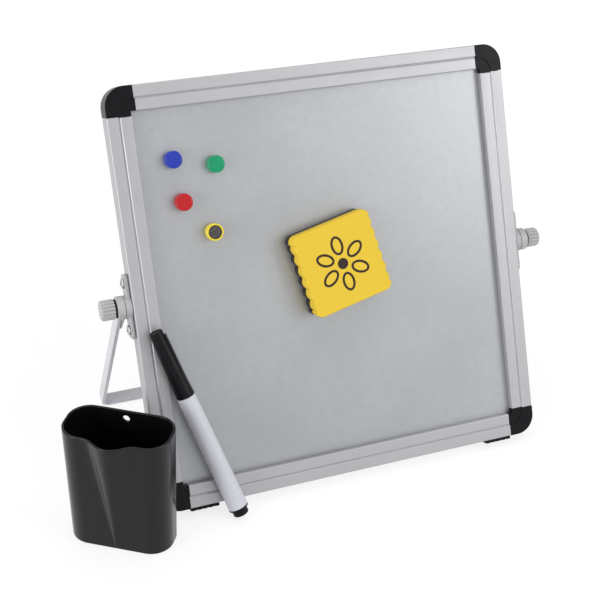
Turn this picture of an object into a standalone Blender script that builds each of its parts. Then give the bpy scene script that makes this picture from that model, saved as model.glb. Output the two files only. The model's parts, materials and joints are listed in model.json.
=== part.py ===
"""Desktop whiteboard easel: a framed double-sided magnetic board that turns in a U-shaped stand.

The board leans back on two rubber pads and on the stand's crossbar. Four button magnets and a foam eraser
are on its front, a marker leans on its frame, and a pen cup stands beside it.

Lengths are metres and +Z is up. The board's own frame has X to the right, Y towards its back and Z up its
face, with its origin in the middle of its lower front edge.
"""

import math

import bmesh
import bpy
from mathutils import Matrix, Vector

MM = 0.001

# Fits shared by all pieces
CLEARANCE = 0.3 * MM
CUT_OVERRUN = 2.0 * MM
MERGE_DISTANCE = 0.001 * MM
SMOOTH_ANGLE = math.radians(32.0)
FINE_SEGMENTS = 32
COARSE_SEGMENTS = 20
ROUND_STEPS = 4

# Board and its lean
BOARD_WIDTH = 254.0 * MM
BOARD_HEIGHT = 254.0 * MM
BOARD_LEAN = math.radians(23.5)

# Frame rails, an aluminium extrusion with a slot for the panel and a hollow outer half
FRAME_DEPTH = 13.0 * MM
RAIL_WIDTH = 14.8 * MM
RAIL_WALL = 1.2 * MM
RAIL_EDGE_RADIUS = 0.9 * MM
RAIL_INNER_EDGE_RADIUS = 0.4 * MM
GROOVE_OFFSET = 7.5 * MM
GROOVE_WIDTH = 1.5 * MM
GROOVE_DEPTH = 0.7 * MM

# Panel, two steel writing sheets on a fibreboard core
PANEL_RECESS = 4.5 * MM
PANEL_GRIP = 4.0 * MM
SHEET_THICKNESS = 0.5 * MM

# Plastic corner caps
CORNER_REACH = 17.1 * MM
CORNER_RADIUS = 12.0 * MM
CORNER_CHAMFER = 0.3 * MM
INNER_STEP = 0.5 * MM
RELIEF_DEPTH = 0.5 * MM
TONGUE_LENGTH = 10.0 * MM

# Rubber pads under the bottom rail
PAD_LENGTH = 18.0 * MM
PAD_WIDTH = 11.0 * MM
PAD_THICKNESS = 1.8 * MM
PAD_CHAMFER = 0.3 * MM

# Pivot brackets and their screws, behind the middle of the frame's depth
PIVOT_DEPTH = 7.8 * MM
BRACKET_LENGTH = 38.4 * MM
BRACKET_WIDTH = 9.2 * MM
BRACKET_THICKNESS = 2.2 * MM
BRACKET_CORNER_RADIUS = 2.0 * MM
BRACKET_CHAMFER = 0.4 * MM
BOSS_RADIUS = 6.9 * MM
BOSS_RISE = 1.6 * MM
SCREW_SPACING = 28.0 * MM
SCREW_HEAD_RADIUS = 3.2 * MM
SCREW_HEAD_HEIGHT = 1.3 * MM
SCREW_HEAD_RIM = 0.5 * MM
SCREW_SHANK_RADIUS = 1.3 * MM
SCREW_LENGTH = 7.0 * MM
SCREW_POINT_LENGTH = 1.6 * MM
SCREW_SLOT_LENGTH = 3.4 * MM
SCREW_SLOT_WIDTH = 0.8 * MM
SCREW_SLOT_DEPTH = 0.8 * MM
NUT_ACROSS_FLATS = 7.0 * MM
NUT_THICKNESS = 2.2 * MM

# Thumb knobs on threaded studs
STUD_RADIUS = 1.9 * MM
STUD_GRIP = 6.5 * MM
KNOB_RADIUS = 6.1 * MM
KNOB_LENGTH = 8.5 * MM
KNOB_FLUTES = 16
KNOB_FLUTE_DEPTH = 0.6 * MM
KNOB_EDGE_RADIUS = 1.7 * MM
KNOB_BASE_CHAMFER = 0.4 * MM
WASHER_RADIUS = 5.6 * MM
WASHER_THICKNESS = 0.6 * MM

# Stand, a flat bar bent to a U with a moulded knuckle on each end
LEG_LEAN = math.radians(31.816)
BAR_WIDTH = 8.0 * MM
BAR_THICKNESS = 2.5 * MM
BAR_BEND_RADIUS = 7.0 * MM
BAR_CHAMFER = 0.4 * MM
KNUCKLE_RADIUS = 7.1 * MM
KNUCKLE_THICKNESS = 4.4 * MM
KNUCKLE_WALL = 0.9 * MM
KNUCKLE_CHAMFER = 0.5 * MM
KNUCKLE_TAIL_LENGTH = 23.0 * MM
SOCKET_START = 3.0 * MM

# Button magnets: a coloured cap round a ferrite disc
MAGNET_RADIUS = 5.15 * MM
MAGNET_HEIGHT = 5.8 * MM
MAGNET_EDGE_RADIUS = 0.9 * MM
DISC_RADIUS = 3.9 * MM
DISC_THICKNESS = 2.6 * MM

# Foam eraser with a felt face and a magnet strip inside
ERASER_WIDTH = 52.4 * MM
ERASER_HEIGHT = 52.6 * MM
ERASER_CORNER_RADIUS = 4.5 * MM
ERASER_TURN = math.radians(13.0)
SCALLOP_COUNT = 6
SCALLOP_DEPTH = 1.3 * MM
FOAM_THICKNESS = 8.4 * MM
FOAM_CHAMFER = 0.8 * MM
FELT_THICKNESS = 5.8 * MM
STRIP_LENGTH = 36.0 * MM
STRIP_WIDTH = 10.0 * MM
STRIP_THICKNESS = 1.6 * MM

# Marker, measured up from its end plug
MARKER_LEAN = math.radians(17.13)
BARREL_LENGTH = 76.5 * MM
BARREL_LOWER_RADIUS = 6.15 * MM
BARREL_UPPER_RADIUS = 5.65 * MM
BARREL_BORE_RADIUS = 4.6 * MM
PLUG_LENGTH = 4.6 * MM
PLUG_RADIUS = 4.8 * MM
PLUG_EDGE_RADIUS = 1.0 * MM
PLUG_FLANGE_THICKNESS = 0.6 * MM
PLUG_SPIGOT_LENGTH = 5.0 * MM
HOLDER_SPIGOT_LENGTH = 8.0 * MM
HOLDER_NECK_LENGTH = 15.0 * MM
HOLDER_NECK_RADIUS = 3.3 * MM
HOLDER_TIP_RADIUS = 2.5 * MM
NIB_RADIUS = 1.5 * MM
NIB_REACH = 5.0 * MM
RESERVOIR_RADIUS = 4.2 * MM
RESERVOIR_GAP = 4.0 * MM
PEN_CAP_LENGTH = 42.9 * MM
PEN_CAP_UPPER_RADIUS = 4.1 * MM
PEN_CAP_TOP_THICKNESS = 2.0 * MM
PEN_CAP_WALL = 0.9 * MM
PEN_CAP_EDGE_RADIUS = 0.5 * MM
CLIP_TOP_DROP = 3.0 * MM
CLIP_FOOT_RISE = 6.5 * MM
CLIP_WIDTH = 2.6 * MM
CLIP_RISE = 1.1 * MM
CLIP_TURN = math.radians(-28.0)

# Pen cup: a tapered oval cup whose front swells in the middle
CUP_WIDTH = 64.2 * MM
CUP_DEPTH = 32.3 * MM
CUP_HEIGHT = 78.9 * MM
CUP_WALL = 1.6 * MM
CUP_FLOOR = 2.0 * MM
CUP_TAPER = 1.1 * MM
CUP_CORNER_RADIUS = 13.1 * MM
CUP_FOOT_CHAMFER = 1.0 * MM
CUP_SWELL = 6.8 * MM
CUP_SWELL_WIDTH = 24.8 * MM
CUP_HOLE_RADIUS = 2.2 * MM
CUP_HOLE_DROP = 5.4 * MM
CUP_HOLE_OFFSET = 0.9 * MM
CUP_TURN = math.radians(-34.1)
CUP_SIDE_GAP = 23.7 * MM
CUP_SETBACK = 0.5 * MM

# Places on the board, as shares of its width and height from its lower left corner
MAGNET_PLACE_SHARES = {
    "blue": (0.140, 0.822),
    "green": (0.239, 0.799),
    "red": (0.1515, 0.7225),
    "yellow": (0.214, 0.643),
}
ERASER_PLACE_SHARES = (0.507, 0.5254)
MARKER_FOOT_SHARE = 0.1822

# Colour, roughness and metallic value of each finish
FINISHES = {
    "anodised_aluminium": ("C4C4C6", 0.36, 1.0),
    "black_plastic": ("1F2023", 0.38, 0.0),
    "writing_sheet": ("B3B5B8", 0.32, 0.4),
    "fibreboard": ("8B7355", 0.90, 0.0),
    "grey_plastic": ("CFCFCC", 0.48, 0.0),
    "painted_bar": ("D6D6DB", 0.42, 0.0),
    "plated_steel": ("B7B9BC", 0.30, 1.0),
    "rubber": ("0E0E0F", 0.85, 0.0),
    "blue_plastic": ("3549C4", 0.35, 0.0),
    "green_plastic": ("17AA7B", 0.35, 0.0),
    "red_plastic": ("D2262C", 0.35, 0.0),
    "yellow_plastic": ("F0DC3C", 0.35, 0.0),
    "ferrite": ("3B3936", 0.60, 0.0),
    "yellow_foam": ("EBC83B", 0.85, 0.0),
    "dark_felt": ("2A2625", 0.95, 0.0),
    "magnet_rubber": ("2E2E30", 0.80, 0.0),
    "white_plastic": ("DADAE2", 0.30, 0.0),
    "ink_fibre": ("26262A", 0.95, 0.0),
    "cup_plastic": ("2A2A2E", 0.22, 0.0),
}

# Sizes that follow from those above
PANEL_INSET = RAIL_WIDTH - PANEL_GRIP
SLOT_FLOOR = PANEL_INSET - CLEARANCE
SLOT_FRONT = PANEL_RECESS - CLEARANCE
CAVITY_END = SLOT_FLOOR - RAIL_WALL
BRACKET_FACE = CLEARANCE + BRACKET_THICKNESS
BOSS_FACE = BRACKET_FACE + BOSS_RISE
KNUCKLE_START = BOSS_FACE + CLEARANCE
KNUCKLE_END = KNUCKLE_START + KNUCKLE_THICKNESS
BAR_INNER = KNUCKLE_START + KNUCKLE_WALL + CLEARANCE
BAR_OUTER = BAR_INNER + BAR_THICKNESS
WASHER_START = KNUCKLE_END + CLEARANCE
KNOB_START = WASHER_START + WASHER_THICKNESS + CLEARANCE
STUD_HOLE_RADIUS = STUD_RADIUS + CLEARANCE
PAD_DROP = CLEARANCE + PAD_THICKNESS
BARREL_START = PLUG_LENGTH + PLUG_FLANGE_THICKNESS + CLEARANCE
BARREL_END = BARREL_START + BARREL_LENGTH
PEN_CAP_START = BARREL_END + CLEARANCE
MARKER_STANDOFF = BARREL_LOWER_RADIUS + CLEARANCE
LEG_CORNER = BAR_WIDTH / 2 - BAR_CHAMFER


def linear(hex_colour):
    """The linear RGBA colour of an sRGB hex value."""
    channels = [int(hex_colour[i : i + 2], 16) / 255 for i in (0, 2, 4)]
    curve = [c / 12.92 if c <= 0.04045 else ((c + 0.055) / 1.055) ** 2.4 for c in channels]
    return (*curve, 1.0)


def make_material(name, finish):
    """A Principled material for one piece, from the table of finishes."""
    colour, roughness, metallic = FINISHES[finish]
    material = bpy.data.materials.new(name)
    material.use_nodes = True
    shader = material.node_tree.nodes["Principled BSDF"]
    shader.inputs["Base Color"].default_value = linear(colour)
    shader.inputs["Roughness"].default_value = roughness
    shader.inputs["Metallic"].default_value = metallic
    material.diffuse_color = linear(colour)
    return material


def add_empty(name, parent=None, location=(0, 0, 0), rotation=(0, 0, 0)):
    """An empty that places the pieces of one body."""
    empty = bpy.data.objects.new(name, None)
    bpy.context.collection.objects.link(empty)
    empty.parent = parent
    empty.location = location
    empty.rotation_euler = rotation
    return empty


def object_from(name, bm, parent):
    """A mesh object from a bmesh, with its faces pointing out and its round faces smooth."""
    bmesh.ops.recalc_face_normals(bm, faces=bm.faces)
    mesh = bpy.data.meshes.new(name)
    bm.to_mesh(mesh)
    bm.free()
    mesh.shade_smooth()
    mesh.set_sharp_from_angle(angle=SMOOTH_ANGLE)
    piece = bpy.data.objects.new(name, mesh)
    bpy.context.collection.objects.link(piece)
    piece.parent = parent
    return piece


def add_piece(name, bm, parent, finish, location=(0, 0, 0), rotation=(0, 0, 0)):
    """One sub-part, placed in its parent's frame."""
    piece = object_from(name, bm, parent)
    piece.location = location
    piece.rotation_euler = rotation
    piece.data.materials.append(make_material(name, finish))
    return piece


def combine(piece, operation, bm):
    """Join a tool shape to a piece or cut it away; the tool is a hidden child of the piece."""
    tool = object_from(f"{piece.name}_tool", bm, piece)
    tool.hide_render = True
    tool.display_type = "WIRE"
    modifier = piece.modifiers.new(operation.title(), "BOOLEAN")
    modifier.operation = operation
    modifier.solver = "EXACT"
    modifier.object = tool


def cut(piece, bm):
    """Cut a tool shape out of a piece."""
    combine(piece, "DIFFERENCE", bm)


def weld(piece, bm):
    """Add a tool shape to a piece."""
    combine(piece, "UNION", bm)


def moved(bm, matrix):
    """The bmesh, moved by a matrix."""
    bmesh.ops.transform(bm, matrix=matrix, verts=bm.verts)
    return bm


def axes(x_to, y_to, z_to):
    """The matrix that takes X, Y and Z to the three given directions."""
    return Matrix((x_to, y_to, z_to)).transposed().to_4x4()


def facing_y(bm):
    """A prism drawn in XY along Z, turned to be drawn in XZ along Y."""
    return moved(bm, axes((1, 0, 0), (0, 0, 1), (0, 1, 0)))


def facing_x(bm):
    """A prism or turned shape along Z, turned to lie along X, with its outline in YZ."""
    return moved(bm, axes((0, 1, 0), (0, 0, 1), (1, 0, 0)))


def block(low, high):
    """A box between two corners."""
    bm = bmesh.new()
    bmesh.ops.create_cube(bm, size=1)
    size = [b - a for a, b in zip(low, high)]
    middle = [(a + b) / 2 for a, b in zip(low, high)]
    bmesh.ops.scale(bm, vec=size, verts=bm.verts)
    bmesh.ops.translate(bm, vec=middle, verts=bm.verts)
    return bm


def prism(outline, low, high, chamfer=0, hole=()):
    """An outline in XY, extruded along Z, with a through hole or with its end edges chamfered."""
    bm = bmesh.new()
    corners = [bm.verts.new((x, y, low)) for x, y in outline]
    if hole:
        inner = [bm.verts.new((x, y, low)) for x, y in hole]
        for loop in (corners, inner):
            for first, second in zip(loop, loop[1:] + loop[:1]):
                bm.edges.new((first, second))
        bmesh.ops.triangle_fill(bm, use_beauty=True, edges=bm.edges)
    else:
        bm.faces.new(corners)
    result = bmesh.ops.extrude_face_region(bm, geom=bm.faces[:], use_keep_orig=True)
    lifted = [item for item in result["geom"] if isinstance(item, bmesh.types.BMVert)]
    bmesh.ops.translate(bm, verts=lifted, vec=(0, 0, high - low))
    bmesh.ops.recalc_face_normals(bm, faces=bm.faces)
    if chamfer:
        rims = [e for e in bm.edges if e.verts[0].co.z == e.verts[1].co.z]
        bmesh.ops.bevel(
            bm, geom=rims, offset=chamfer, offset_type="OFFSET", segments=1, profile=0.5,
            affect="EDGES", material=-1,
        )
    return bm


def turned(profile, segments, ring=False):
    """A profile of (radius, height) points turned about Z; a ring's profile closes on itself."""
    bm = bmesh.new()
    corners = [bm.verts.new((radius, 0, height)) for radius, height in profile]
    pairs = list(zip(corners, corners[1:]))
    if ring:
        pairs.append((corners[-1], corners[0]))
    for first, second in pairs:
        bm.edges.new((first, second))
    bmesh.ops.spin(
        bm, geom=bm.verts[:] + bm.edges[:], axis=(0, 0, 1), cent=(0, 0, 0), angle=2 * math.pi,
        steps=segments, use_merge=True,
    )
    bmesh.ops.remove_doubles(bm, verts=bm.verts, dist=MERGE_DISTANCE)
    return bm


def cylinder(radius, low, high, segments):
    """A plain cylinder about Z."""
    return turned([(0, low), (radius, low), (radius, high), (0, high)], segments)


def arc(centre, radius, start, end, steps):
    """Points on an arc, with its angles in quarter turns."""
    angles = [(start + (end - start) * i / steps) * math.pi / 2 for i in range(steps + 1)]
    return [(centre[0] + radius * math.cos(a), centre[1] + radius * math.sin(a)) for a in angles]


def rounded_rectangle(width, height, radius, steps):
    """The outline of a rectangle with round corners, about its centre."""
    x = width / 2 - radius
    y = height / 2 - radius
    centres = [(x, y), (-x, y), (-x, -y), (x, -y)]
    return [p for i, centre in enumerate(centres) for p in arc(centre, radius, i, i + 1, steps)]


def side_location(side, depth=0, up=0, out=0):
    """A place on or beyond the left (-1) or right (1) side of the board."""
    return (side * (BOARD_WIDTH / 2 + out), depth, up)


def side_rotation(side):
    """The turn that points a side piece's X axis away from the board."""
    return (0, 0, 0 if side > 0 else math.pi)


def rail_profile():
    """Section of a rail, with Y across its width from the outer edge and X from front to back."""
    groove = [
        (0, GROOVE_OFFSET - GROOVE_WIDTH / 2),
        (GROOVE_DEPTH, GROOVE_OFFSET),
        (0, GROOVE_OFFSET + GROOVE_WIDTH / 2),
    ]
    edge = RAIL_EDGE_RADIUS
    inner = RAIL_INNER_EDGE_RADIUS
    front = arc((edge, edge), edge, 3, 2, ROUND_STEPS)
    front += groove
    front += arc((inner, RAIL_WIDTH - inner), inner, 2, 1, ROUND_STEPS // 2)
    front += [(SLOT_FRONT, RAIL_WIDTH), (SLOT_FRONT, SLOT_FLOOR)]
    back = [(FRAME_DEPTH - x, y) for x, y in reversed(front)]
    cavity = [
        (RAIL_WALL, RAIL_WALL),
        (RAIL_WALL, CAVITY_END),
        (FRAME_DEPTH - RAIL_WALL, CAVITY_END),
        (FRAME_DEPTH - RAIL_WALL, RAIL_WALL),
    ]
    return front + back, cavity


def rail(length):
    """A rail along X with its outer edge on Z = 0 and its front face on Y = 0."""
    outline, cavity = rail_profile()
    half = length / 2 - CORNER_REACH - CLEARANCE
    return facing_x(prism(outline, -half, half, hole=cavity))


def rail_notch(length, end):
    """The notch in the inner half of a rail's left (-1) or right (1) end, for the step in a corner cap."""
    outer = length / 2 - CORNER_REACH - CLEARANCE
    inside, outside = sorted((end * (outer - INNER_STEP), end * (outer + CUT_OVERRUN)))
    return block(
        (inside, -CUT_OVERRUN, GROOVE_OFFSET),
        (outside, FRAME_DEPTH + CUT_OVERRUN, RAIL_WIDTH + CUT_OVERRUN),
    )


def make_rails(board):
    """The four rails, with screw holes in the two that carry the pivots."""
    quarter = math.pi / 2
    middle = BOARD_HEIGHT / 2
    places = {
        "bottom_rail": (BOARD_WIDTH, (0, 0, 0), 0),
        "top_rail": (BOARD_WIDTH, (0, 0, BOARD_HEIGHT), 2 * quarter),
        "left_rail": (BOARD_HEIGHT, (-BOARD_WIDTH / 2, 0, middle), quarter),
        "right_rail": (BOARD_HEIGHT, (BOARD_WIDTH / 2, 0, middle), -quarter),
    }
    for name, (length, location, turn) in places.items():
        piece = add_piece(name, rail(length), board, "anodised_aluminium", location, (0, turn, 0))
        for end in (-1, 1):
            cut(piece, rail_notch(length, end))
            if name in ("left_rail", "right_rail"):
                radius = SCREW_SHANK_RADIUS + CLEARANCE
                hole = cylinder(radius, -CUT_OVERRUN, RAIL_WALL + CUT_OVERRUN, COARSE_SEGMENTS)
                place = (end * SCREW_SPACING / 2, PIVOT_DEPTH, 0)
                cut(piece, moved(hole, Matrix.Translation(place)))


def relief_outline():
    """The lowered inner part of a corner cap, bounded by an arc that carries on the rails' grooves."""
    centre = (CORNER_REACH, CORNER_REACH)
    end = CORNER_REACH + INNER_STEP + CUT_OVERRUN
    outline = [(end, GROOVE_OFFSET)]
    outline += arc(centre, CORNER_REACH - GROOVE_OFFSET, 3, 2, 2 * ROUND_STEPS)
    outline += [(GROOVE_OFFSET, end), (end, end)]
    return outline


def corner_cap():
    """The body of a corner cap, with its outer corner at the origin and its arms along X and Z."""
    far = CORNER_REACH + INNER_STEP
    step = GROOVE_OFFSET + CLEARANCE
    outline = arc((CORNER_RADIUS, CORNER_RADIUS), CORNER_RADIUS, 2, 3, 2 * ROUND_STEPS)
    outline += [(CORNER_REACH, 0), (CORNER_REACH, step), (far, step), (far, RAIL_WIDTH)]
    outline += [(RAIL_WIDTH, RAIL_WIDTH)]
    outline += [(RAIL_WIDTH, far), (step, far), (step, CORNER_REACH), (0, CORNER_REACH)]
    return facing_y(prism(outline, 0, FRAME_DEPTH, CORNER_CHAMFER))


def corner_tongue():
    """The tongue that plugs a cap's X arm into the hollow of its rail."""
    low = RAIL_WALL + CLEARANCE
    start = CORNER_REACH - CUT_OVERRUN
    return block(
        (start, low, low),
        (CORNER_REACH + TONGUE_LENGTH, FRAME_DEPTH - low, CAVITY_END - CLEARANCE),
    )


def make_corner_caps(board):
    """The four corner caps: lowered front and back, with two tongues and a slot for the panel's corner."""
    quarter = math.pi / 2
    half = BOARD_WIDTH / 2
    places = {
        "bottom_left_corner_cap": ((-half, 0, 0), 0),
        "bottom_right_corner_cap": ((half, 0, 0), -quarter),
        "top_right_corner_cap": ((half, 0, BOARD_HEIGHT), 2 * quarter),
        "top_left_corner_cap": ((-half, 0, BOARD_HEIGHT), quarter),
    }
    diagonal = axes((0, 0, 1), (0, 1, 0), (1, 0, 0))
    far = CORNER_REACH + INNER_STEP + CUT_OVERRUN
    back = FRAME_DEPTH - RELIEF_DEPTH
    for name, (location, turn) in places.items():
        cap = add_piece(name, corner_cap(), board, "black_plastic", location, (0, turn, 0))
        cut(cap, facing_y(prism(relief_outline(), -CUT_OVERRUN, RELIEF_DEPTH)))
        cut(cap, facing_y(prism(relief_outline(), back, FRAME_DEPTH + CUT_OVERRUN)))
        weld(cap, corner_tongue())
        weld(cap, moved(corner_tongue(), diagonal))
        cut(cap, block((SLOT_FLOOR, SLOT_FRONT, SLOT_FLOOR), (far, FRAME_DEPTH - SLOT_FRONT, far)))


def make_panel(board):
    """The core and the two writing sheets on it."""
    half = BOARD_WIDTH / 2 - PANEL_INSET
    top = BOARD_HEIGHT - PANEL_INSET
    front = PANEL_RECESS + SHEET_THICKNESS
    back = FRAME_DEPTH - front
    layers = {
        "front_sheet": (PANEL_RECESS, front, "writing_sheet"),
        "core_board": (front + CLEARANCE, back - CLEARANCE, "fibreboard"),
        "rear_sheet": (back, FRAME_DEPTH - PANEL_RECESS, "writing_sheet"),
    }
    for name, (near, far, finish) in layers.items():
        add_piece(name, block((-half, near, PANEL_INSET), (half, far, top)), board, finish)


def make_pads(board):
    """The two rubber pads that the board stands on, next to its lower corner caps."""
    outline = rounded_rectangle(PAD_LENGTH, PAD_WIDTH, PAD_CHAMFER, 1)
    across = BOARD_WIDTH / 2 - CORNER_REACH - CLEARANCE - PAD_LENGTH / 2
    for name, side in (("left_foot_pad", -1), ("right_foot_pad", 1)):
        pad = prism(outline, -PAD_DROP, -CLEARANCE, PAD_CHAMFER)
        add_piece(name, pad, board, "rubber", (side * across, FRAME_DEPTH / 2, 0))


def bracket():
    """The plate that is screwed to a side rail, drawn along X from the rail's face."""
    outline = rounded_rectangle(BRACKET_WIDTH, BRACKET_LENGTH, BRACKET_CORNER_RADIUS, ROUND_STEPS)
    return facing_x(prism(outline, CLEARANCE, BRACKET_FACE, BRACKET_CHAMFER))


def hexagon(across_flats):
    """The outline of a hexagon with two flats across X."""
    corner = across_flats / 2 / math.cos(math.pi / 6)
    angles = [(i + 1 / 2) * math.pi / 3 for i in range(6)]
    return [(corner * math.cos(angle), corner * math.sin(angle)) for angle in angles]


def screw():
    """A pan-head screw along X, its head's underside on X = 0."""
    dome = SCREW_HEAD_HEIGHT - SCREW_HEAD_RIM
    quarter = arc((0, 0), 1, 0, 1, ROUND_STEPS)
    crown = [(SCREW_HEAD_RADIUS * x, SCREW_HEAD_RIM + dome * y) for x, y in quarter[:-1]]
    profile = [(0, -SCREW_LENGTH), (SCREW_SHANK_RADIUS, SCREW_POINT_LENGTH - SCREW_LENGTH)]
    profile += [(SCREW_SHANK_RADIUS, 0), (SCREW_HEAD_RADIUS, 0), *crown, (0, SCREW_HEAD_HEIGHT)]
    return facing_x(turned(profile, COARSE_SEGMENTS))


def screw_cross():
    """The cross recess in a screw's head."""
    long = SCREW_SLOT_LENGTH / 2
    wide = SCREW_SLOT_WIDTH / 2
    arm = [(long, -wide), (long, wide), (wide, wide)]
    outline = [turn_point(x, y, quarters) for quarters in range(4) for x, y in arm]
    top = SCREW_HEAD_HEIGHT + CUT_OVERRUN
    return facing_x(prism(outline, SCREW_HEAD_HEIGHT - SCREW_SLOT_DEPTH, top))


def turn_point(x, y, quarters):
    """A point turned about the origin by quarter turns."""
    for _ in range(quarters):
        x, y = -y, x
    return x, y


def make_pivots(board):
    """On each side of the board: the bracket, its two screws and the captive nut of the knob's stud."""
    for label, side in (("left", -1), ("right", 1)):
        place = side_location(side, PIVOT_DEPTH, BOARD_HEIGHT / 2)
        turn = side_rotation(side)
        plate = add_piece(f"{label}_pivot_bracket", bracket(), board, "grey_plastic", place, turn)
        weld(plate, facing_x(cylinder(BOSS_RADIUS, CLEARANCE, BOSS_FACE, FINE_SEGMENTS)))
        pocket = NUT_ACROSS_FLATS + 2 * CLEARANCE
        pocket_end = CLEARANCE + NUT_THICKNESS + CLEARANCE
        cut(plate, facing_x(prism(hexagon(pocket), CLEARANCE - CUT_OVERRUN, pocket_end)))
        cut(plate, facing_x(cylinder(STUD_HOLE_RADIUS, 0, BOSS_FACE + CUT_OVERRUN, COARSE_SEGMENTS)))
        nut = prism(
            hexagon(NUT_ACROSS_FLATS), CLEARANCE, CLEARANCE + NUT_THICKNESS,
            hole=arc((0, 0), STUD_HOLE_RADIUS, 0, 4, COARSE_SEGMENTS)[:-1],
        )
        add_piece(f"{label}_captive_nut", facing_x(nut), board, "plated_steel", place, turn)
        for word, along in (("upper", SCREW_SPACING / 2), ("lower", -SCREW_SPACING / 2)):
            hole = cylinder(SCREW_SHANK_RADIUS + CLEARANCE, 0, BRACKET_FACE + CUT_OVERRUN, COARSE_SEGMENTS)
            cut(plate, moved(facing_x(hole), Matrix.Translation((0, 0, along))))
            seat = BRACKET_FACE + CLEARANCE
            spot = side_location(side, PIVOT_DEPTH, BOARD_HEIGHT / 2 + along, seat)
            name = f"{label}_{word}_screw"
            fastener = add_piece(name, screw(), board, "plated_steel", spot, turn)
            cut(fastener, screw_cross())


def knob():
    """A fluted thumb knob along X from its inner face."""
    steps = 4 * KNOB_FLUTES

    def fluted(radius):
        depth = KNOB_FLUTE_DEPTH * radius / KNOB_RADIUS
        angles = [2 * math.pi * i / steps for i in range(steps)]
        radii = [radius - depth * (1 - math.cos(KNOB_FLUTES * a)) / 2 for a in angles]
        return [(r * math.cos(a), r * math.sin(a)) for r, a in zip(radii, angles)]

    edge = KNOB_EDGE_RADIUS
    shoulder = KNOB_RADIUS - edge
    rings = [(KNOB_RADIUS - KNOB_BASE_CHAMFER, 0), (KNOB_RADIUS, KNOB_BASE_CHAMFER)]
    rings += [(shoulder + x, KNOB_LENGTH - edge + y) for x, y in arc((0, 0), edge, 0, 1, ROUND_STEPS)]
    return facing_x(loft([(fluted(radius), height) for radius, height in rings]))


def loft(sections):
    """A closed solid through outlines of equal length, each given with its height along Z."""
    bm = bmesh.new()
    rings = [[bm.verts.new((x, y, height)) for x, y in outline] for outline, height in sections]
    for lower, upper in zip(rings, rings[1:]):
        for i, corner in enumerate(lower):
            j = (i + 1) % len(lower)
            bm.faces.new((corner, lower[j], upper[j], upper[i]))
    bm.faces.new(list(reversed(rings[0])))
    bm.faces.new(rings[-1])
    return bm


def make_knobs(board):
    """On each side: the knob, its threaded stud and the washer under it, on the pivot axis."""
    for label, side in (("left", -1), ("right", 1)):
        place = side_location(side, PIVOT_DEPTH, BOARD_HEIGHT / 2)
        axis = add_empty(f"{label}_knob_axis", board, place, side_rotation(side))
        out = (KNOB_START, 0, 0)
        grip = add_piece(f"{label}_knob", knob(), axis, "grey_plastic", out)
        hole_end = STUD_GRIP + CLEARANCE
        cut(grip, facing_x(cylinder(STUD_HOLE_RADIUS, -CUT_OVERRUN, hole_end, COARSE_SEGMENTS)))
        stud = facing_x(cylinder(STUD_RADIUS, CLEARANCE, KNOB_START + STUD_GRIP, COARSE_SEGMENTS))
        add_piece(f"{label}_knob_stud", stud, axis, "plated_steel")
        section = [
            (STUD_HOLE_RADIUS, 0), (WASHER_RADIUS, 0), (WASHER_RADIUS, WASHER_THICKNESS),
            (STUD_HOLE_RADIUS, WASHER_THICKNESS),
        ]
        washer = facing_x(turned(section, FINE_SEGMENTS, ring=True))
        add_piece(f"{label}_knob_washer", washer, axis, "rubber", (WASHER_START, 0, 0))


def stand_bar(leg_length):
    """The U-shaped bar below the pivot axis, with its legs along -Z."""
    outer = BOARD_WIDTH / 2 + BAR_OUTER
    inner = BOARD_WIDTH / 2 + BAR_INNER
    bend = BAR_BEND_RADIUS
    tight = BAR_BEND_RADIUS - BAR_THICKNESS
    top = -SOCKET_START - CLEARANCE
    low = bend - leg_length
    outline = [(outer, top)]
    outline += arc((outer - bend, low), bend, 4, 3, ROUND_STEPS)
    outline += arc((bend - outer, low), bend, 3, 2, ROUND_STEPS)
    outline += [(-outer, top), (-inner, top)]
    outline += arc((bend - outer, low), tight, 2, 3, ROUND_STEPS)
    outline += arc((outer - bend, low), tight, 3, 4, ROUND_STEPS)
    outline += [(inner, top)]
    return facing_y(prism(outline, -BAR_WIDTH / 2, BAR_WIDTH / 2, BAR_CHAMFER))


def knuckle():
    """The round eye of a knuckle along X, where the knob clamps it."""
    radius = KNUCKLE_RADIUS
    rim = KNUCKLE_RADIUS - KNUCKLE_CHAMFER
    profile = [
        (0, KNUCKLE_START), (rim, KNUCKLE_START), (radius, KNUCKLE_START + KNUCKLE_CHAMFER),
        (radius, KNUCKLE_END - KNUCKLE_CHAMFER), (rim, KNUCKLE_END), (0, KNUCKLE_END),
    ]
    return facing_x(turned(profile, FINE_SEGMENTS))


def knuckle_tail():
    """The tail of a knuckle, which tapers down the inner face of its leg."""
    root = KNUCKLE_RADIUS - KNUCKLE_CHAMFER
    tip = BAR_WIDTH / 2
    side = [(root, 0), (tip, -KNUCKLE_TAIL_LENGTH + tip)]
    end = arc((0, -KNUCKLE_TAIL_LENGTH + tip), tip, 4, 2, 2 * ROUND_STEPS)[1:-1]
    outline = [*side, *end, (-side[1][0], side[1][1]), (-root, 0)]
    return facing_x(prism(outline, KNUCKLE_START, KNUCKLE_START + KNUCKLE_WALL))


def make_stand(stand, leg_length):
    """The bar and its two knuckles."""
    add_piece("stand_bar", stand_bar(leg_length), stand, "painted_bar")
    half = BAR_WIDTH / 2 + CLEARANCE
    for label, side in (("left", -1), ("right", 1)):
        place = side_location(side)
        turn = side_rotation(side)
        eye = add_piece(f"{label}_stand_knuckle", knuckle(), stand, "grey_plastic", place, turn)
        weld(eye, knuckle_tail())
        low = (BAR_INNER - CLEARANCE, -half, -KNUCKLE_TAIL_LENGTH - CUT_OVERRUN)
        cut(eye, block(low, (BAR_OUTER + CLEARANCE, half, -SOCKET_START)))
        bore = cylinder(STUD_HOLE_RADIUS, 0, KNUCKLE_END + CUT_OVERRUN, COARSE_SEGMENTS)
        cut(eye, facing_x(bore))


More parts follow.
